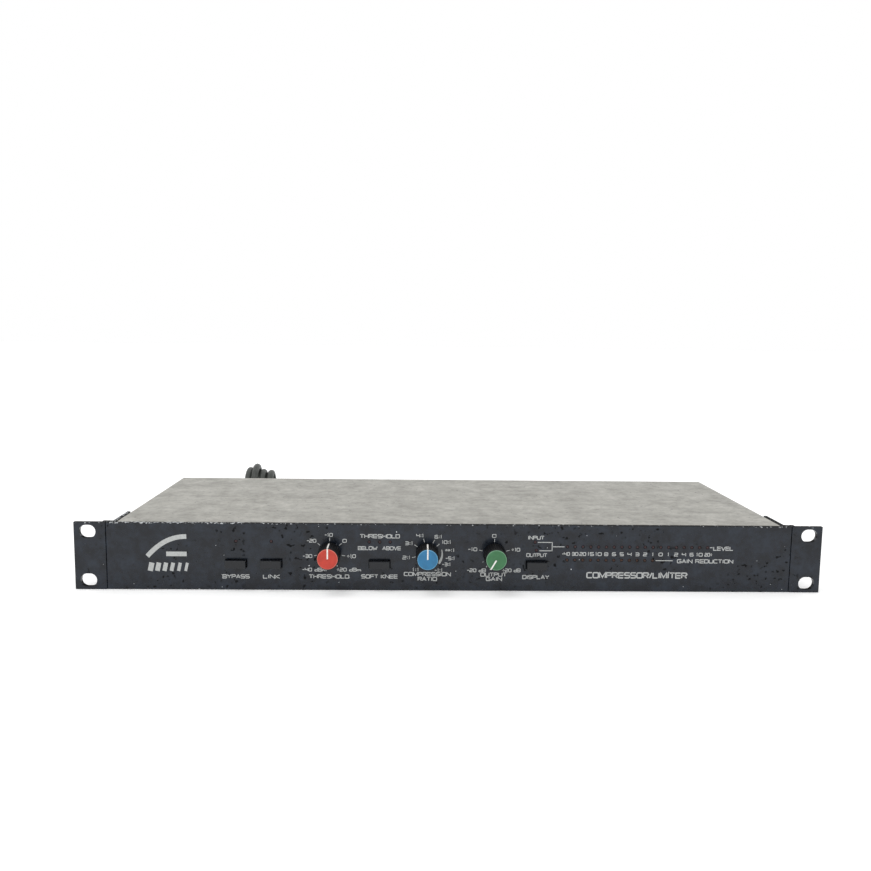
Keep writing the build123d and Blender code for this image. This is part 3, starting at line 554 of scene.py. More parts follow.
def skin_rings(builder, rings, cap_start=True, cap_end=True):
    """Joins rings of points with quads, and closes the ends."""
    loops = [[builder.verts.new(point) for point in ring] for ring in rings]
    count = len(loops[0])
    for lower, upper in zip(loops, loops[1:]):
        for i in range(count):
            j = (i + 1) % count
            builder.faces.new((lower[i], lower[j], upper[j], upper[i]))
    if cap_start:
        builder.faces.new(loops[0])
    if cap_end:
        builder.faces.new(loops[-1])
    return loops


def add_box(builder, low, high, bevel=0.0, segments=2):
    """A box with softened edges."""
    centre = [(a + b) / 2 for a, b in zip(low, high)]
    size = [b - a for a, b in zip(low, high)]
    matrix = Matrix.Translation(centre) @ Matrix.Diagonal((*size, 1.0))
    made = bmesh.ops.create_cube(builder, size=1.0, matrix=matrix)
    if bevel:
        edges = list({edge for vert in made["verts"] for edge in vert.link_edges})
        bmesh.ops.bevel(
            builder, geom=edges, offset=bevel, segments=segments, affect="EDGES", profile=0.5
        )


# ---------------------------------------------------------------- printed letters
GRID = {
    "a": (0, 1), "b": (0.5, 1), "c": (1, 1),
    "d": (0, 0.5), "e": (0.5, 0.5), "f": (1, 0.5),
    "g": (0, 0), "h": (0.5, 0), "i": (1, 0),
    "j": (0.19, 0.3), "k": (0.81, 0.3), "m": (0.25, 0), "n": (0.75, 0),
    "o": (0.2, 0.8), "p": (0.25, 0.8), "q": (0.75, 0.2), "r": (0.75, 0.8), "s": (0.25, 0.2),
    "t": (0.5, 0.9), "u": (0.5, 0.1), "v": (0.5, 0.85), "w": (0.5, 0.62), "x": (0.5, 0.3), "y": (0.5, 0.07),
}
# Width over height, then strokes through the grid's points. A capital keeps its corner sharp,
# a small letter rounds it, and a star closes the stroke.
GLYPHS = {
    "A": (1.35, "gBi jk"), "B": (1.3, "AciG* df"), "C": (1.3, "cagi"), "D": (1.3, "AciG*"),
    "E": (1.25, "cAGi df"), "F": (1.2, "cAg df"), "G": (1.35, "cagife"), "H": (1.3, "ag ci df"),
    "I": (0.25, "bh"), "K": (1.25, "ag cDi"), "L": (1.15, "aGi"), "M": (1.5, "gAUCi"),
    "N": (1.35, "gAIc"), "O": (1.4, "acig*"), "P": (1.25, "gAcfd"), "R": (1.3, "gAcfd ei"),
    "S": (1.3, "cadfig"), "T": (1.25, "ac bh"), "U": (1.35, "agic"), "V": (1.35, "aHc"),
    "W": (1.8, "aMEnc"), "X": (1.3, "ai cg"), "Y": (1.3, "aEc eh"),
    "d": (1.1, "ci fdgi"), "m": (1.4, "gdfi eh"),
    "0": (1.15, "acig*"), "1": (0.5, "oBh"), "2": (1.1, "acfdGi"), "3": (1.1, "acig df"),
    "4": (1.15, "aDf ci"), "5": (1.1, "cADfig"), "6": (1.1, "cagifd"), "8": (1.1, "acig* df"),
    "-": (0.75, "df"), "+": (0.9, "df tu"), "/": (0.6, "gc"), ":": (0.3, "vw xy"),
    "~": (1.7, "dpeqfres*"), " ": (0.6, ""),
}
LETTER_GAP = 0.32


def rounded_stroke(points, sharp, closed, radius, steps=4):
    """Replaces each corner that isn't sharp with a short arc."""
    result = []
    count = len(points)
    for i, here in enumerate(points):
        if not closed and i in (0, count - 1) or sharp[i]:
            result.append(here)
            continue
        before, after = points[i - 1], points[(i + 1) % count]
        back, ahead = before - here, after - here
        reach = min(radius, 0.5 * back.length, 0.5 * ahead.length)
        start = here + back.normalized() * reach
        end = here + ahead.normalized() * reach
        for k in range(steps + 1):
            t = k / steps
            result.append((1 - t) ** 2 * start + 2 * t * (1 - t) * here + t * t * end)
    return result


def add_ribbon(builder, points, closed, half_width, y, depth):
    """A flat stroke of ink lying on the panel, closed on all sides."""
    count = len(points)
    sides = []
    for i, here in enumerate(points):
        before = points[i - 1] if closed or i else None
        after = points[(i + 1) % count] if closed or i < count - 1 else None
        runs = [(b - a).normalized() for a, b in ((before, here), (here, after)) if a and b]
        normals = [Vector((-run.y, run.x)) for run in runs]
        normal = sum(normals, Vector((0, 0))).normalized()
        stretch = half_width / max(normal.dot(normals[0]), 0.5)
        sides.append((here + normal * stretch, here - normal * stretch))
    rings = []
    for left, right in sides:
        rings.append(
            [(p.x, level, p.y) for p, level in ((left, y), (right, y), (right, y - depth), (left, y - depth))]
        )
    if closed:
        rings.append(rings[0])
    skin_rings(builder, rings, not closed, not closed)
    if closed:
        bmesh.ops.remove_doubles(builder, verts=builder.verts, dist=1e-7)


class Print:
    """Collects strokes, letters, ticks and shapes printed on a flat face that looks along -Y."""

    def __init__(self, y, settings, facing=1):
        self.builder = bmesh.new()
        self.y = y
        self.settings = settings
        self.facing = facing

    def stroke(self, points, width, closed=False):
        flat = [Vector((self.facing * x, z)) for x, z in points]
        depth = self.facing * self.settings.ink_thickness
        add_ribbon(self.builder, flat, closed, width / 2, self.y, depth)

    def text(self, words, x, z, height, width=None):
        """Words centred on x and z, stretched to the width where one is given."""
        advance = [GLYPHS[letter][0] + LETTER_GAP for letter in words]
        natural = (sum(advance) - LETTER_GAP) * height
        stretch = (width - self.settings.weight * height) / natural if width else 1.0
        cursor = x - natural * stretch / 2
        for letter, step in zip(words, advance):
            wide, strokes = GLYPHS[letter]
            for code in strokes.split():
                closed = code.endswith("*")
                code = code.rstrip("*")
                points = []
                for key in code:
                    u, v = GRID[key.lower()]
                    points.append(Vector((cursor + u * wide * height * stretch, z + (v - 0.5) * height)))
                sharp = [key.isupper() for key in code]
                soft = rounded_stroke(points, sharp, closed, 0.26 * height)
                self.stroke([tuple(p) for p in soft], self.settings.weight * height, closed)
            cursor += step * height * stretch

    def tick(self, centre, angle, inner, outer, width):
        """A radial mark; the angle is clockwise from the top, in degrees."""
        across, up = math.sin(math.radians(angle)), math.cos(math.radians(angle))
        self.stroke([(centre.x + r * across, centre.z + r * up) for r in (inner, outer)], width)

    def done(self, name, body=BODY):
        mesh = mesh_from(name, self.builder)
        return add_piece(name, mesh, "printed_ink", body)


# ---------------------------------------------------------------- operators
class RACK_OT_stage(bpy.types.Operator):
    """Makes the floor, the light and the camera"""

    bl_idname = "rack.stage"
    bl_label = "Stage"

    def execute(self, context):
        stage = context.scene.rack_stage
        camera_data = bpy.data.cameras.new("camera")
        camera_data.sensor_fit = "HORIZONTAL"
        camera_data.angle = stage.view_angle
        camera_data.clip_start = 0.01
        camera = bpy.data.objects.new("camera", camera_data)
        context.scene.collection.objects.link(camera)
        turn = Matrix.Rotation(-stage.camera_turn, 4, "Z")
        tilt = Matrix.Rotation(math.pi / 2 - stage.camera_tilt, 4, "X")
        roll = Matrix.Rotation(stage.camera_roll, 4, "Z")
        camera.matrix_world = Matrix.Translation(stage.camera_place) @ turn @ tilt @ roll
        context.scene.camera = camera

        builder = bmesh.new()
        half = stage.floor_size / 2
        corners = [(-half, -half), (half, -half), (half, half), (-half, half)]
        builder.faces.new([builder.verts.new((x, y, cad_box[0][2] - 0.2 * MM)) for x, y in corners])
        mesh = mesh_from("floor", builder)
        material, tree, shader, place = new_material("floor_paper", Roughness=0.9, Specular_IOR_Level=0.1)
        shader.inputs["Emission Color"].default_value = (1.0, 1.0, 1.0, 1.0)
        shader.inputs["Emission Strength"].default_value = stage.floor_glow
        pale = linear(stage.floor_colour)
        ends = {0: add_node(tree, NOISE, [place, None, per(300 * MM), 2.0]), 6: pale, 7: shade(pale, 0.985)}
        join(tree, shader, Base_Color=add_node(tree, MIX, ends, 2, data_type="RGBA"))
        mesh.materials.append(material)
        floor = bpy.data.objects.new("floor", mesh)
        context.scene.collection.objects.link(floor)

        world = bpy.data.worlds.new("studio")
        world.use_nodes = True
        sky = world.node_tree.nodes["Background"]
        sky.inputs["Color"].default_value = (1.0, 1.0, 1.0, 1.0)
        sky.inputs["Strength"].default_value = stage.sky_strength
        context.scene.world = world
        light_data = bpy.data.lights.new("overhead", "AREA")
        light_data.energy = stage.key_power
        light_data.size = 0.5
        light_place = (-0.45, -0.2, 1.3)
        lean_right, lean_back = math.radians(-19), math.radians(8)
        light = bpy.data.objects.new("overhead", light_data)
        light.matrix_world = (
            Matrix.Translation(light_place)
            @ Matrix.Rotation(lean_right, 4, "Y")
            @ Matrix.Rotation(lean_back, 4, "X")
        )
        context.scene.collection.objects.link(light)
        context.scene.view_settings.view_transform = "Standard"
        return {"FINISHED"}


def far_fold(base_x, centre_y, radius, floor_line, last_angle):
    """Points round a far fold that lies flat and climbs by one cord as it comes back."""
    # Angle round the fold from its outgoing side, and the height reached there in millimetres.
    climb = (
        (-90, 0.0), (-66, 0.0), (-42, 0.1), (-20, 1.2), (0, 4.6),
        (20, 8.2), (42, 9.7), (64, 9.6), (88, 8.8),
    )
    points = []
    for degrees, height in climb:
        if degrees <= last_angle:
            a = math.radians(degrees)
            x = base_x + radius * (1 + math.sin(a))
            points.append((x, centre_y + radius * math.cos(a), floor_line + height * MM))
    return points


def near_fold(start_x, end_x, centre_y, radius, shift, floor_line):
    """Points round a near fold from the waist over the top and down to the floor. Its top stands off
    to the right by the shift, and a big shift tips the whole fold over."""
    tipped = shift > radius
    lean = math.asin(shift / (2 * radius))
    points = []
    steps = 8
    for step in range(steps + 1):
        angle = math.radians(52 + 216 * step / steps)
        height = radius * (1 + math.sin(angle))
        x = start_x + (end_x - start_x) * step / steps
        x += height * math.sin(lean) if tipped else shift * (height / (2 * radius)) ** 1.5
        z = floor_line + (height * math.cos(lean) if tipped else height)
        points.append((x, centre_y + radius * math.cos(angle), z))
    return points


def lead_route(gland_x, gland_z, sleeve_end, floor_line, pitch, plug_end):
    """The lead from its sleeve through the tied hank to the plug: every turn goes out along the floor,
    folds flat, comes back one layer up through the tie and folds over its upright near end."""
    near_y, waist_y, far_y = sleeve_end + 37 * MM, sleeve_end + 82 * MM, sleeve_end + 120.5 * MM
    waist_x = gland_x - 0.8 * MM
    far_radius = 18.8 * MM
    fan = 9.0 * MM
    upper = floor_line + 6.2 * MM
    near_folds = ((18.8, 1.2), (20.4, 1.0), (18.0, 0.6), (17.6, 1.4), (18.6, 26.0))
    points = [
        (gland_x, sleeve_end - 2 * MM, gland_z),
        (gland_x, sleeve_end + 12 * MM, gland_z),
        (gland_x - 1.2 * MM, sleeve_end + 26 * MM, gland_z - 2.6 * MM),
        (gland_x - 1.8 * MM, sleeve_end + 43 * MM, gland_z - 10 * MM),
        (gland_x - 1.2 * MM, sleeve_end + 61 * MM, floor_line + 0.8 * MM),
    ]
    for i in range(len(near_folds) + 1):
        final = i == len(near_folds)
        strand_x = waist_x + i * pitch
        base_x = strand_x - 3.2 * MM + i * (fan - pitch)
        points.append((strand_x, waist_y - 9 * MM, floor_line))
        points.append((strand_x, waist_y + 6 * MM, floor_line))
        points.append(((strand_x + base_x) / 2, waist_y + 20 * MM, floor_line))
        points += far_fold(base_x, far_y, far_radius, floor_line, 88 if final else 64)
        if final:
            break
        top_x = strand_x + pitch / 2
        reach = base_x + 2 * far_radius - top_x
        returning = ((0.955, -4.0, 8.9), (0.7, -14.0, 8.3), (0.36, -23.0, 7.6), (0.08, -31.5, 6.8))
        for share, back, height in returning:
            points.append((top_x + share * reach, far_y + back * MM, floor_line + height * MM))
        radius, shift = (value * MM for value in near_folds[i])
        tipped = shift > radius
        points.append((top_x, waist_y - 2 * MM, upper + 0.4 * MM))
        rise = ((-11, 2.0, 4.6), (-21, 10.0, 9.5)) if tipped else ((-11, 0.0, 6.0), (-21, 0.1, 15.8))
        for back, across, height in rise:
            points.append((top_x + across * MM, waist_y + back * MM, upper + height * MM))
        points += near_fold(top_x, strand_x + pitch, near_y, radius, shift, floor_line)
        points.append((strand_x + pitch, near_y + 20 * MM, floor_line))
    end_x, end_y = plug_end[:2]
    for across, back, height in ((17.5, 46.0, 6.6), (14.0, 31.0, 5.2), (7.5, 16.0, 6.6)):
        points.append((end_x + across * MM, end_y + back * MM, floor_line + height * MM))
    points.append(plug_end)
    return points


def round_ring(x, y, z, radius, segments):
    """Points round a circle that looks along Y."""
    angles = [2 * math.pi * k / segments for k in range(segments)]
    return [(x + radius * math.cos(a), y, z + radius * math.sin(a)) for a in angles]


class RACK_OT_mains_lead(bpy.types.Operator):
    """Makes the mains lead with its tied hank, its sleeve and its plug"""

    bl_idname = "rack.mains_lead"
    bl_label = "Mains Lead"

    def execute(self, context):
        lead = context.scene.rack_lead
        half = lead.diameter / 2
        sleeve_low, sleeve_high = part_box("strain_relief")
        gland_x = (sleeve_low[0] + sleeve_high[0]) / 2
        gland_z = (sleeve_low[2] + sleeve_high[2]) / 2
        plug_low, plug_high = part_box("mains_plug")
        plug_x = (plug_low[0] + plug_high[0]) / 2
        plug_z = (plug_low[2] + plug_high[2]) / 2
        plug_end = (plug_x, plug_high[1] - 3 * MM, plug_z)
        points = lead_route(
            gland_x, gland_z, sleeve_high[1], PANEL_LOW + half, 1.02 * lead.diameter, plug_end
        )

        curve = bpy.data.curves.new("mains_lead_run", "CURVE")
        curve.dimensions = "3D"
        spline = curve.splines.new("NURBS")
        spline.points.add(len(points) - 1)
        for place, point in zip(spline.points, points):
            place.co = (*point, 1.0)
        spline.order_u = 3
        spline.use_endpoint_u = True
        spline.resolution_u = 6
        curve.bevel_depth = half
        curve.bevel_resolution = 4
        curve.use_fill_caps = True
        run = add_piece("mains_lead_run", curve, "jacket_vinyl")
        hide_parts("mains_lead", "cord_hank", "lead_tail")

        self.sleeve(gland_x, gland_z, half)
        plug, blades = self.plug(plug_x, plug_z, plug_low[1])
        tie = self.tie()
        return {"FINISHED"}

    def sleeve(self, x, z, half):
        """Ribbed tapering sleeve moulded round the lead where it leaves the case."""
        low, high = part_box("strain_relief")
        flange = (high[0] - low[0]) / 2
        stations = [
            (low[1], flange - 0.8 * MM),
            (low[1] + 3 * MM, flange - 0.8 * MM),
            (low[1] + 3 * MM, flange - 2 * MM),
            (REAR_FACE, flange - 2 * MM),
            (REAR_FACE, flange - 0.3 * MM),
            (REAR_FACE + 0.4 * MM, flange),
            (REAR_FACE + 2.1 * MM, flange),
            (REAR_FACE + 2.5 * MM, flange - 0.4 * MM),
            (REAR_FACE + 2.6 * MM, flange - 2.3 * MM),
        ]
        ribs = 5
        taper_start = REAR_FACE + 3.4 * MM
        rib_pitch = (high[1] - taper_start - 1.5 * MM) / ribs
        for i in range(ribs):
            y = taper_start + i * rib_pitch
            outer = half + (0.9 + 2.3 * (1 - i / ribs)) * MM
            groove = half + (0.5 + 1.2 * (1 - i / ribs)) * MM
            stations += [(y, outer), (y + 0.55 * rib_pitch, outer - 0.15 * MM)]
            stations += [(y + 0.62 * rib_pitch, groove), (y + 0.93 * rib_pitch, groove)]
        stations += [(high[1] - 1.0 * MM, half + 0.8 * MM), (high[1], half + 0.35 * MM)]
        stations += [(high[1], half * 0.96)]
        builder = bmesh.new()
        skin_rings(builder, [round_ring(x, y, z, radius, 48) for y, radius in stations])
        mesh = mesh_from("lead_sleeve", builder, 35)
        piece = add_piece("lead_sleeve", mesh, "jacket_vinyl")
        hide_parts("strain_relief")

    def plug(self, x, z, tip):
        """Moulded plug body with finger grips, and its blades and pin."""
        front = tip + 19 * MM
        stations = [
            (0.0, 12.2, 11.2, 5.0),
            (0.6, 13.0, 12.0, 5.0),
            (7.0, 13.0, 12.0, 5.0),
            (9.0, 12.0, 10.6, 4.0),
            (19.0, 11.6, 10.2, 3.6),
            (25.0, 10.4, 9.6, 3.0),
            (31.0, 6.6, 6.6, 2.2),
            (36.0, 5.2, 5.2, 2.0),
            (37.5, 4.6, 4.6, 2.0),
            (39.0, 4.9, 4.9, 2.0),
            (41.0, 4.2, 4.2, 2.0),
            (42.5, 4.5, 4.5, 2.0),
            (46.0, 3.7, 3.7, 2.0),
        ]
        builder = bmesh.new()
        segments = 64
        rings = []
        for y, wide, tall, power in stations:
            ring = []
            for k in range(segments):
                a = 2 * math.pi * k / segments
                c, s = math.cos(a), math.sin(a)
                u = math.copysign(abs(c) ** (2 / power), c) * wide * MM
                v = math.copysign(abs(s) ** (2 / power), s) * tall * MM
                ring.append((x + u, front + y * MM, z + v))
            rings.append(ring)
        skin_rings(builder, rings)
        for side in (-1, 1):
            for i in range(5):
                y = front + (10.5 + 2.2 * i) * MM
                reach = (11.0 - 0.12 * i) * MM
                ends = sorted((x + side * reach, x + side * (reach + 1.3 * MM)))
                add_box(
                    builder, (ends[0], y, z - 6 * MM), (ends[1], y + 1.1 * MM, z + 6 * MM), 0.3 * MM
                )
        body = add_piece("plug_body", mesh_from("plug_body", builder, 38), "jacket_vinyl")
        builder = bmesh.new()
        blade_z = z + 5.5 * MM
        for side in (-1, 1):
            blade_x = x + side * 6.35 * MM
            add_box(
                builder,
                (blade_x - 0.75 * MM, front - 16 * MM, blade_z - 3.2 * MM),
                (blade_x + 0.75 * MM, front + 1 * MM, blade_z + 3.2 * MM),
                0.35 * MM,
            )
        pin = ((1.0, 2.4), (-16.5, 2.4), (-18.2, 1.7), (-19.0, 0.6))
        pin_z = blade_z - 11 * MM
        skin_rings(builder, [round_ring(x, front + y * MM, pin_z, r * MM, 32) for y, r in pin])
        mesh = mesh_from("plug_blades", builder, 40)
        blades = add_piece("plug_blades", mesh, "brass_blade")
        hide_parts("mains_plug")
        return body, blades

    def tie(self):
        """Hook-and-loop strap wrapped round the waist of the hank."""
        low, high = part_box("hank_tie")
        builder = bmesh.new()
        thick = 1.3 * MM
        corner = 4.5 * MM
        steps = 6
        outline = []
        spots = [(high[0], high[2]), (low[0], high[2]), (low[0], low[2]), (high[0], low[2])]
        for index, (x, z) in enumerate(spots):
            inward_x = -1 if x == high[0] else 1
            inward_z = -1 if z == high[2] else 1
            for k in range(steps + 1):
                a = math.radians(90 * (index + k / steps))
                outline.append(
                    (
                        x + inward_x * corner + corner * math.cos(a),
                        z + inward_z * corner + corner * math.sin(a),
                    )
                )
        centre = ((low[0] + high[0]) / 2, (low[2] + high[2]) / 2)
        loops = []
        for inset, y in ((0.0, low[1]), (0.0, high[1]), (thick, high[1]), (thick, low[1])):
            ring = []
            for px, pz in outline:
                sx = 1 - inset / ((high[0] - low[0]) / 2)
                sz = 1 - inset / ((high[2] - low[2]) / 2)
                ring.append((centre[0] + (px - centre[0]) * sx, y, centre[1] + (pz - centre[1]) * sz))
            loops.append(ring)
        loops.append(loops[0])
        skin_rings(builder, loops, False, False)
        bmesh.ops.remove_doubles(builder, verts=builder.verts, dist=1e-7)
        mesh = mesh_from("hank_strap", builder, 40)
        piece = add_piece("hank_strap", mesh, "jacket_vinyl")
        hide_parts("hank_tie")
        return piece


class RACK_OT_finishes(bpy.types.Operator):
    """Gives every carried-over part its finish"""

    bl_idname = "rack.finishes"
    bl_label = "Finishes"

    def execute(self, context):
        for name, nodes in NODE_FINISHES.items():
            for node in nodes:
                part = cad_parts[node]
                material = finish(name)
                for material_slot in part.material_slots:
                    material_slot.material = material
                if not part.material_slots:
                    part.data.materials.append(material)
        return {"FINISHED"}


class RACK_OT_knobs(bpy.types.Operator):
    """Makes the fluted knobs with their white pointer lines"""

    bl_idname = "rack.knobs"
    bl_label = "Knobs"

    def execute(self, context):
        knob = context.scene.rack_knob
        for name in KNOBS:
            body = f"{name}_control"
            low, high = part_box(f"knob_{name}")
            centre = KNOB_CENTRES[name]
            radius = (high[0] - low[0]) / 2
            rear, front = high[1], low[1]
            inner = radius - knob.lip - 0.35 * MM
            stations = [
                (rear, radius - 1.3 * MM, 0),
                (rear, radius - 0.25 * MM, 0),
                (rear - 0.25 * MM, radius, 0),
                (rear - 1.5 * MM, radius, 0),
                (rear - 2.1 * MM, radius, 1),
                (front + 1.2 * MM, radius - 0.12 * MM, 1),
                (front + 0.6 * MM, radius - 0.25 * MM, 0.3),
                (front + 0.15 * MM, radius - 0.4 * MM, 0),
                (front, radius - 0.6 * MM, 0),
                (front, inner, 0),
                (front + 1.1 * MM, inner, 0),
            ]
            builder = bmesh.new()
            segments = knob.flutes * 8
            rings = []
            for y, r, share in stations:
                ring = []
                for k in range(segments):
                    angle = 2 * math.pi * k / segments
                    wave = 0.5 - 0.5 * math.cos(knob.flutes * angle)
                    reach = r - share * knob.flute_depth * wave**2
                    ring.append(
                        (centre.x + reach * math.sin(angle), y, centre.z + reach * math.cos(angle))
                    )
                rings.append(ring)
            skin_rings(builder, rings)
            mesh = mesh_from(f"fluted_{name}", builder, 50)
            piece = add_piece(f"fluted_{name}", mesh, "moulded_nylon", body)
            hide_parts(f"knob_{name}")
            self.pointer(name, centre, radius, rear, front, knob.pointer_width, body)
            self.cap_bead(name, centre, knob.pointer_width, body)
        return {"FINISHED"}

    def pointer(self, name, centre, radius, rear, front, width, body):
        """The white line across the cap and back along the knob's side."""
        cap_low, cap_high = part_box(f"cap_{name}")
        cap_radius = (cap_high[0] - cap_low[0]) / 2
        builder = bmesh.new()
        half = width / 2
        for near, far, low, high in (
            (cap_low[1] + 0.04 * MM, cap_low[1] + 0.4 * MM, 0.1 * MM, cap_radius - 0.15 * MM),
            (front + 0.5 * MM, rear - 3.4 * MM, radius - 0.5 * MM, radius + 0.04 * MM),
            (front - 0.08 * MM, front + 0.3 * MM, cap_radius - 0.1 * MM, radius - 0.45 * MM),
        ):
            add_box(builder, (-half, near, low), (half, far, high), 0.04 * MM, 1)
        turn = Matrix.Rotation(POINTER_ANGLES[name], 4, "Y")
        place = Matrix.Translation((centre.x, 0, centre.z)) @ turn
        bmesh.ops.transform(builder, matrix=place, verts=builder.verts)
        mesh = mesh_from(f"pointer_{name}", builder)
        add_piece(f"pointer_{name}", mesh, "pointer_paint", body)

    def cap_bead(self, name, centre, width, body):
        """Painted highlight on the cap's edge: a low pale ring on its chamfer, open where the pointer crosses
        it.
        """
        cap_low, cap_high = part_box(f"cap_{name}")
        ring_radius = (cap_high[0] - cap_low[0]) / 2 - 0.22 * MM
        section = ((0.22, 0.3), (0.14, 0.02), (-0.12, 0.0), (-0.28, 0.1), (0.0, 0.4))
        gap = width / 2 / ring_radius
        segments = 96
        builder = bmesh.new()
        rings = []
        for k in range(segments + 1):
            angle = POINTER_ANGLES[name] + gap + 2 * (math.pi - gap) * k / segments
            ring = []
            for out, back in section:
                reach = ring_radius + out * MM
                x = centre.x + reach * math.sin(angle)
                z = centre.z + reach * math.cos(angle)
                ring.append((x, cap_low[1] + back * MM, z))
            rings.append(ring)
        skin_rings(builder, rings)
        mesh = mesh_from(f"cap_rim_highlight_{name}", builder, 60)
        add_piece(f"cap_rim_highlight_{name}", mesh, f"bead_{name}", body)


# For each dial, in millimetres from the knob's centre: the inner and outer end of a tick and the
# ticks' angles, the figures with their places and widths, then the words below.
DIALS = {
    "threshold": (
        (8.0, 10.1, (-150, -100, -50, 0, 50, 100, 150)),
        (
            ("-10", -0.6, 12.0, 5.4), ("-20", -11.6, 8.1, 6.2), ("0", 9.6, 8.2, None),
            ("-30", -14.2, -2.0, 6.2), ("+10", 13.9, -1.9, 6.0),
            ("-40 dBm", -9.9, -10.9, 15.6), ("+20 dBm", 12.3, -10.8, 15.8),
        ),
        (("THRESHOLD", -0.4, -15.4, 26),),
    ),
    "ratio": (
        (7.8, 10.2, (-150, -105, -55, -14, 27, 50, 150)),
        (
            ("1:1", -7.4, -10.6, 4.6), ("2:1", -13.4, -2.6, 5.2), ("3:1", -11.8, 6.8, 5.2),
            ("4:1", -4.8, 11.9, 5.0), ("6:1", 7.0, 11.2, 5.0), ("10:1", 12.2, 7.7, 6.2),
            ("~:1", 14.5, 2.4, 6.4), ("-5:1", 14.8, -3.0, 6.2), ("-3:1", 12.4, -7.0, 5.8),
            ("-1:1", 7.4, -10.9, 5.4),
        ),
        (("COMPRESSION", 0.2, -13.5, 30.5), ("RATIO", 0.2, -16.7, 12.6)),
    ),
    "gain": (
        (8.0, 10.1, (-150, -75, 0, 75, 150)),
        (
            ("0", -0.3, 12.0, None), ("-10", -14.1, 3.1, 6.0), ("+10", 13.8, 3.0, 5.8),
            ("-20 dB", -11.4, -10.8, 12.4), ("+20 dB", 11.3, -10.7, 12.0),
        ),
        (("OUTPUT", -0.2, -13.6, 17.2), ("GAIN", 0.1, -16.5, 10.6)),
    ),
}


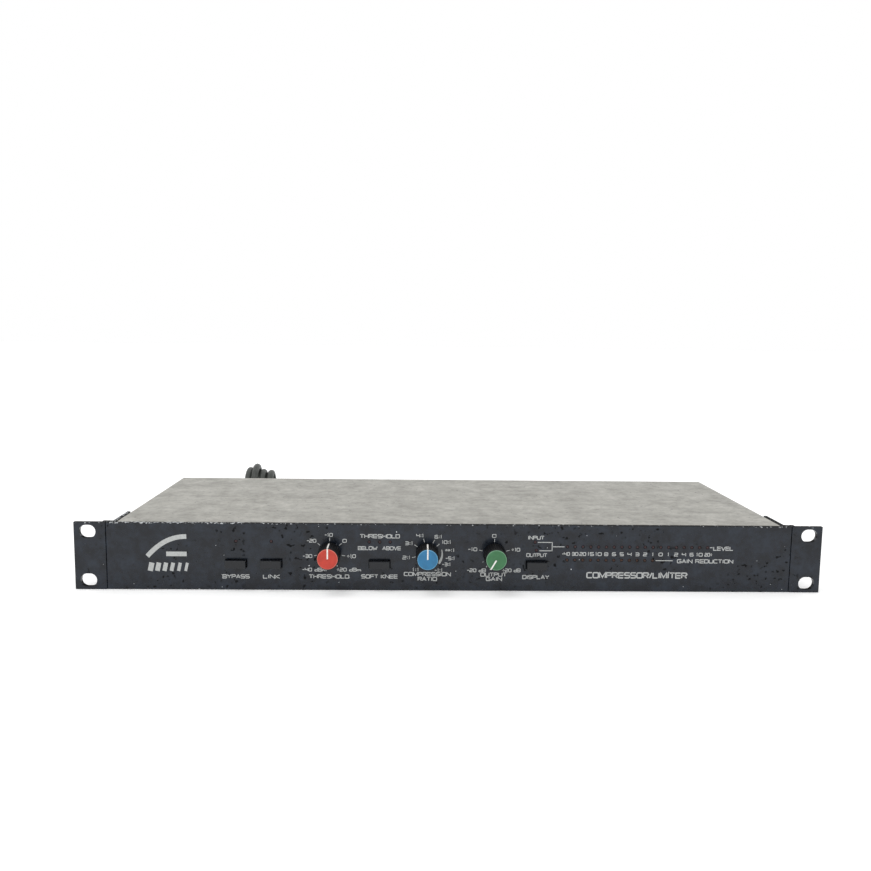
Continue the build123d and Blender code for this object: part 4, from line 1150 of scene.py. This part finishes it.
class RACK_OT_legends(bpy.types.Operator):
    """Prints the dials, names and meter scale on the panel"""

    bl_idname = "rack.legends"
    bl_label = "Legends"

    def execute(self, context):
        legend = context.scene.rack_legend
        self.dials(legend)
        self.names(legend)
        self.meter(legend)
        self.emblem(legend)
        self.rear(legend)
        return {"FINISHED"}

    def dials(self, legend):
        for name, ((inner, outer, angles), figures, words_below) in DIALS.items():
            ink = Print(PANEL_FACE, legend)
            centre = KNOB_CENTRES[name]
            for angle in angles:
                ink.tick(centre, angle, inner * MM, outer * MM, 0.42 * MM)
            for rows, height in ((figures, legend.figure_height), (words_below, legend.label_height)):
                if name == "ratio" and rows is words_below:
                    self.swept_arc(ink, centre)
                for words, across, up, width in rows:
                    place = (centre.x + across * MM, centre.z + up * MM)
                    ink.text(words, *place, height, width * MM if width else None)
            ink.done(f"legend_{name}")

    def swept_arc(self, ink, centre):
        """The arc beside the ratio dial's negative figures, which widens as it runs down."""
        start, sweep, radius, steps = 73, 58, 9.6 * MM, 14
        for step in range(steps):
            first = start + step * sweep / steps
            arc = []
            for degrees in (first, first + sweep / 2 / steps, first + sweep / steps + 0.4):
                a = math.radians(degrees)
                arc.append((centre.x + radius * math.sin(a), centre.z + radius * math.cos(a)))
            ink.stroke(arc, (0.55 + 1.35 * step / steps) * MM)

    def names(self, legend):
        label = legend.label_height
        ink = Print(PANEL_FACE, legend)
        for name, words, across, drop, width in (
            ("bypass", "BYPASS", -0.2, -8.7, 17.4),
            ("link", "LINK", 0.0, -8.7, 11.0),
            ("knee", "SOFT KNEE", 0.0, -8.3, 23.6),
            ("display", "DISPLAY", -0.2, -8.2, 17.6),
        ):
            centre = BUTTON_CENTRES[name]
            ink.text(words, centre.x + across * MM, centre.z + drop * MM, label, width * MM)
        knee = BUTTON_CENTRES["knee"]
        ink.text("THRESHOLD", knee.x + 0.1 * MM, knee.z + 18.3 * MM, label, 25.8 * MM)
        ink.text("BELOW", knee.x - 7.7 * MM, knee.z + 10.4 * MM, label * 0.95, 12.6 * MM)
        ink.text("ABOVE", knee.x + 7.7 * MM, knee.z + 10.4 * MM, label * 0.95, 12.1 * MM)
        title_x, title_z, title_width = 120.6 * MM, -11.0 * MM, 66.2 * MM
        ink.text("COMPRESSOR/LIMITER", title_x, title_z, legend.title_height, title_width)
        ink.done("legend_names")

    def meter(self, legend):
        figure = legend.figure_height
        label = legend.label_height
        ink = Print(PANEL_FACE, legend)
        level_low, level_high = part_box("leds_level")
        level_z = (level_low[2] + level_high[2]) / 2
        cut_low, cut_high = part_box("leds_reduction")
        cut_z = (cut_low[2] + cut_high[2]) / 2
        first = level_low[0] + (level_high[2] - level_low[2]) / 2
        figures = "-40 30 20 15 10 8 6 5 4 3 2 1 0 1 2 4 6 10 20+".split()
        pitch = (level_high[0] - level_low[0] - (level_high[2] - level_low[2])) / (len(figures) - 1)
        figure_z = (level_z + cut_z) / 2 - 0.3 * MM
        for i, words in enumerate(figures):
            nudge = {"-40": -0.9, "20+": 0.9}.get(words, 0.0) * MM
            width = None if len(words) == 1 else 4.4 * MM + abs(nudge)
            ink.text(words, first + i * pitch + nudge, figure_z, figure, width)
        line = 0.5 * MM
        fork_x = first - 9.9 * MM
        lamp_x = fork_x - 9.4 * MM
        ink.stroke([(lamp_x, level_z + 2.85 * MM), (fork_x, level_z + 2.85 * MM)], line)
        ink.stroke([(lamp_x + 1.2 * MM, level_z - 2.7 * MM), (fork_x, level_z - 2.7 * MM)], line)
        ink.stroke([(fork_x, level_z + 3.1 * MM), (fork_x, level_z - 2.95 * MM)], line)
        ink.stroke([(fork_x, level_z), (first - 1.9 * MM, level_z)], line)
        ink.text("INPUT", fork_x - 10.5 * MM, level_z + 5.9 * MM, label * 0.95, 10.6 * MM)
        ink.text("OUTPUT", fork_x - 9.9 * MM, level_z - 5.6 * MM, label * 0.95, 13.6 * MM)
        last = first + (len(figures) - 1) * pitch
        ink.stroke([(last + 1.6 * MM, level_z), (last + 3.4 * MM, level_z)], line)
        ink.text("LEVEL", last + 10.4 * MM, level_z - 0.6 * MM, label, 13.2 * MM)
        cut_last = cut_high[0] - (cut_high[2] - cut_low[2]) / 2
        ink.stroke([(cut_last + 2 * MM, cut_z), (cut_last + 13.2 * MM, cut_z)], line)
        ink.text("GAIN REDUCTION", cut_last + 34.5 * MM, cut_z - 0.3 * MM, label, 37 * MM)
        ink.done("legend_meter")

    def rear(self, legend):
        """Names above the rear connectors, which read from behind."""
        nuts_low, nuts_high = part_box("jack_nuts")
        strips_low, strips_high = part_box("terminal_strips")
        above = (nuts_low[2] + nuts_high[2]) / 2 + 13 * MM
        nut_half = (nuts_high[2] - nuts_low[2]) / math.sqrt(3)
        strip_half = (strips_high[0] - strips_low[0]) / 2 - 72 * MM
        output_jack, detector_jack = 30 * MM, 64 * MM
        sleeve_low, sleeve_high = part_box("strain_relief")
        mains = (sleeve_low[0] + sleeve_high[0]) / 2
        ink = Print(REAR_FACE, legend, facing=-1)
        for words, place, width in (
            ("LINK", nuts_low[0] + nut_half, 9.0),
            ("OUTPUT", strips_low[0] + strip_half, 15.0),
            ("OUTPUT", output_jack, 15.0),
            ("DETECTOR", detector_jack, 19.0),
            ("INPUT", strips_high[0] - strip_half, 12.0),
            ("INPUT", nuts_high[0] - nut_half, 12.0),
        ):
            ink.text(words, -place, above, legend.label_height, width * MM)
        ink.text("MAINS", -mains, above, legend.label_height, 12 * MM)
        ink.done("legend_rear")

    def emblem(self, legend):
        """A plain emblem: a rising curve that bends over at its knee, a level bar under its end and a
        row of slanted strokes below."""
        ink = Print(PANEL_FACE, legend)
        left, low = -195.0 * MM, 0.0 * MM
        curve = []
        for step in range(13):
            t = step / 12
            curve.append((left + 25 * MM * t, low + 13 * MM * (1 - (1 - t) ** 2.2)))
        ink.stroke(curve, 3.0 * MM)
        ink.stroke([(left + 12 * MM, low + 1.6 * MM), (left + 25 * MM, low + 1.6 * MM)], 3.0 * MM)
        for i in range(6):
            x = left + (1.6 + 4.5 * i) * MM
            ink.stroke([(x, -9.6 * MM), (x + 1.2 * MM, -4.2 * MM)], (3.3 - 0.3 * i) * MM)
        ink.done("emblem")


def pan_head(builder, centre, outward, radius, height, twist):
    """A domed screw head with a cross recess, standing on a face that looks along outward (an X sign)."""
    rings, segments = 12, 48
    recess_reach, recess_half, recess_depth = 0.58 * radius, 0.13 * radius, 0.62 * height
    grid = []
    for i in range(1, rings + 1):
        r = radius * i / rings
        ring = []
        for k in range(segments):
            a = 2 * math.pi * k / segments
            u, v = r * math.cos(a), r * math.sin(a)
            dome = height * (0.45 + 0.55 * math.sqrt(max(0.0, 1 - (r / radius) ** 2)))
            in_cross = min(abs(u), abs(v)) < recess_half and max(abs(u), abs(v)) < recess_reach
            top = dome - (recess_depth if in_cross else 0.0)
            y = centre.y + u * math.cos(twist) - v * math.sin(twist)
            z = centre.z + u * math.sin(twist) + v * math.cos(twist)
            ring.append((centre.x + outward * top, y, z))
        grid.append(ring)
    base = [(centre.x, p[1], p[2]) for p in grid[-1]]
    loops = skin_rings(builder, grid + [base], False, True)
    hub = builder.verts.new((centre.x + outward * (height - recess_depth), centre.y, centre.z))
    for i in range(segments):
        builder.faces.new((hub, loops[0][(i + 1) % segments], loops[0][i]))


class RACK_OT_side_screws(bpy.types.Operator):
    """Makes the cross-recessed screws in the ears and the cover's sides"""

    bl_idname = "rack.side_screws"
    bl_label = "Side Screws"

    def execute(self, context):
        for node in ("ear_screws", "cover_screws"):
            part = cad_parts[node]
            builder = bmesh.new()
            source = bmesh.new()
            source.from_mesh(part.data)
            heads = self.heads(source)
            source.free()
            for index, (centre, outward, radius, height) in enumerate(heads):
                pan_head(builder, centre, outward, radius, height, 0.4 + 1.1 * index)
            name = f"{node}_heads"
            piece = add_piece(name, mesh_from(name, builder, 30), "black_zinc")
            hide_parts(node)
        return {"FINISHED"}

    def heads(self, source):
        """Centre, side, radius and height of a head for each loose part of the CAD mesh. The mesh is not
        welded, so a screw has six loose parts and gets six stacked heads: a known fault."""
        found = []
        left = set(source.verts)
        while left:
            island = set()
            front = [left.pop()]
            while front:
                vert = front.pop()
                island.add(vert)
                for edge in vert.link_edges:
                    other = edge.other_vert(vert)
                    if other in left:
                        left.discard(other)
                        front.append(other)
            points = [vert.co for vert in island]
            low = [min(p[i] for p in points) for i in range(3)]
            high = [max(p[i] for p in points) for i in range(3)]
            outward = 1 if low[0] > 0 else -1
            height = 2.0 * MM
            base_x = high[0] - height if outward > 0 else low[0] + height
            centre = Vector((base_x, (low[1] + high[1]) / 2, (low[2] + high[2]) / 2))
            found.append((centre, outward, (high[1] - low[1]) / 2, height))
        return sorted(found, key=lambda head: (head[1], head[0].y, head[0].z))


OPERATORS = (
    RACK_OT_stage,
    RACK_OT_mains_lead,
    RACK_OT_finishes,
    RACK_OT_knobs,
    RACK_OT_legends,
    RACK_OT_side_screws,
)


class RACK_PT_panel(bpy.types.Panel):
    """Lists the settings and the makers of the rack compressor's pieces"""

    bl_label = "Rack Compressor"
    bl_idname = "RACK_PT_panel"
    bl_space_type = "VIEW_3D"
    bl_region_type = "UI"
    bl_category = "Rack"

    def draw(self, context):
        for operator in OPERATORS:
            self.layout.operator(operator.bl_idname)
        for name, group in SETTINGS.items():
            box = self.layout.box()
            box.label(text=group.__doc__)
            for key in group.__annotations__:
                box.prop(getattr(context.scene, name), key)


def register():
    for group in SETTINGS.values():
        bpy.utils.register_class(group)
    for name, group in SETTINGS.items():
        setattr(bpy.types.Scene, name, PointerProperty(type=group))
    for operator in OPERATORS:
        bpy.utils.register_class(operator)
    bpy.utils.register_class(RACK_PT_panel)


def unregister():
    bpy.utils.unregister_class(RACK_PT_panel)
    for operator in reversed(OPERATORS):
        bpy.utils.unregister_class(operator)
    for name in SETTINGS:
        delattr(bpy.types.Scene, name)
    for group in reversed(SETTINGS.values()):
        bpy.utils.unregister_class(group)


def main():
    register()
    bpy.ops.rack.stage()
    bpy.ops.rack.mains_lead()
    bpy.ops.rack.finishes()
    bpy.ops.rack.knobs()
    bpy.ops.rack.legends()
    bpy.ops.rack.side_screws()


if __name__ == "__main__":
    main()
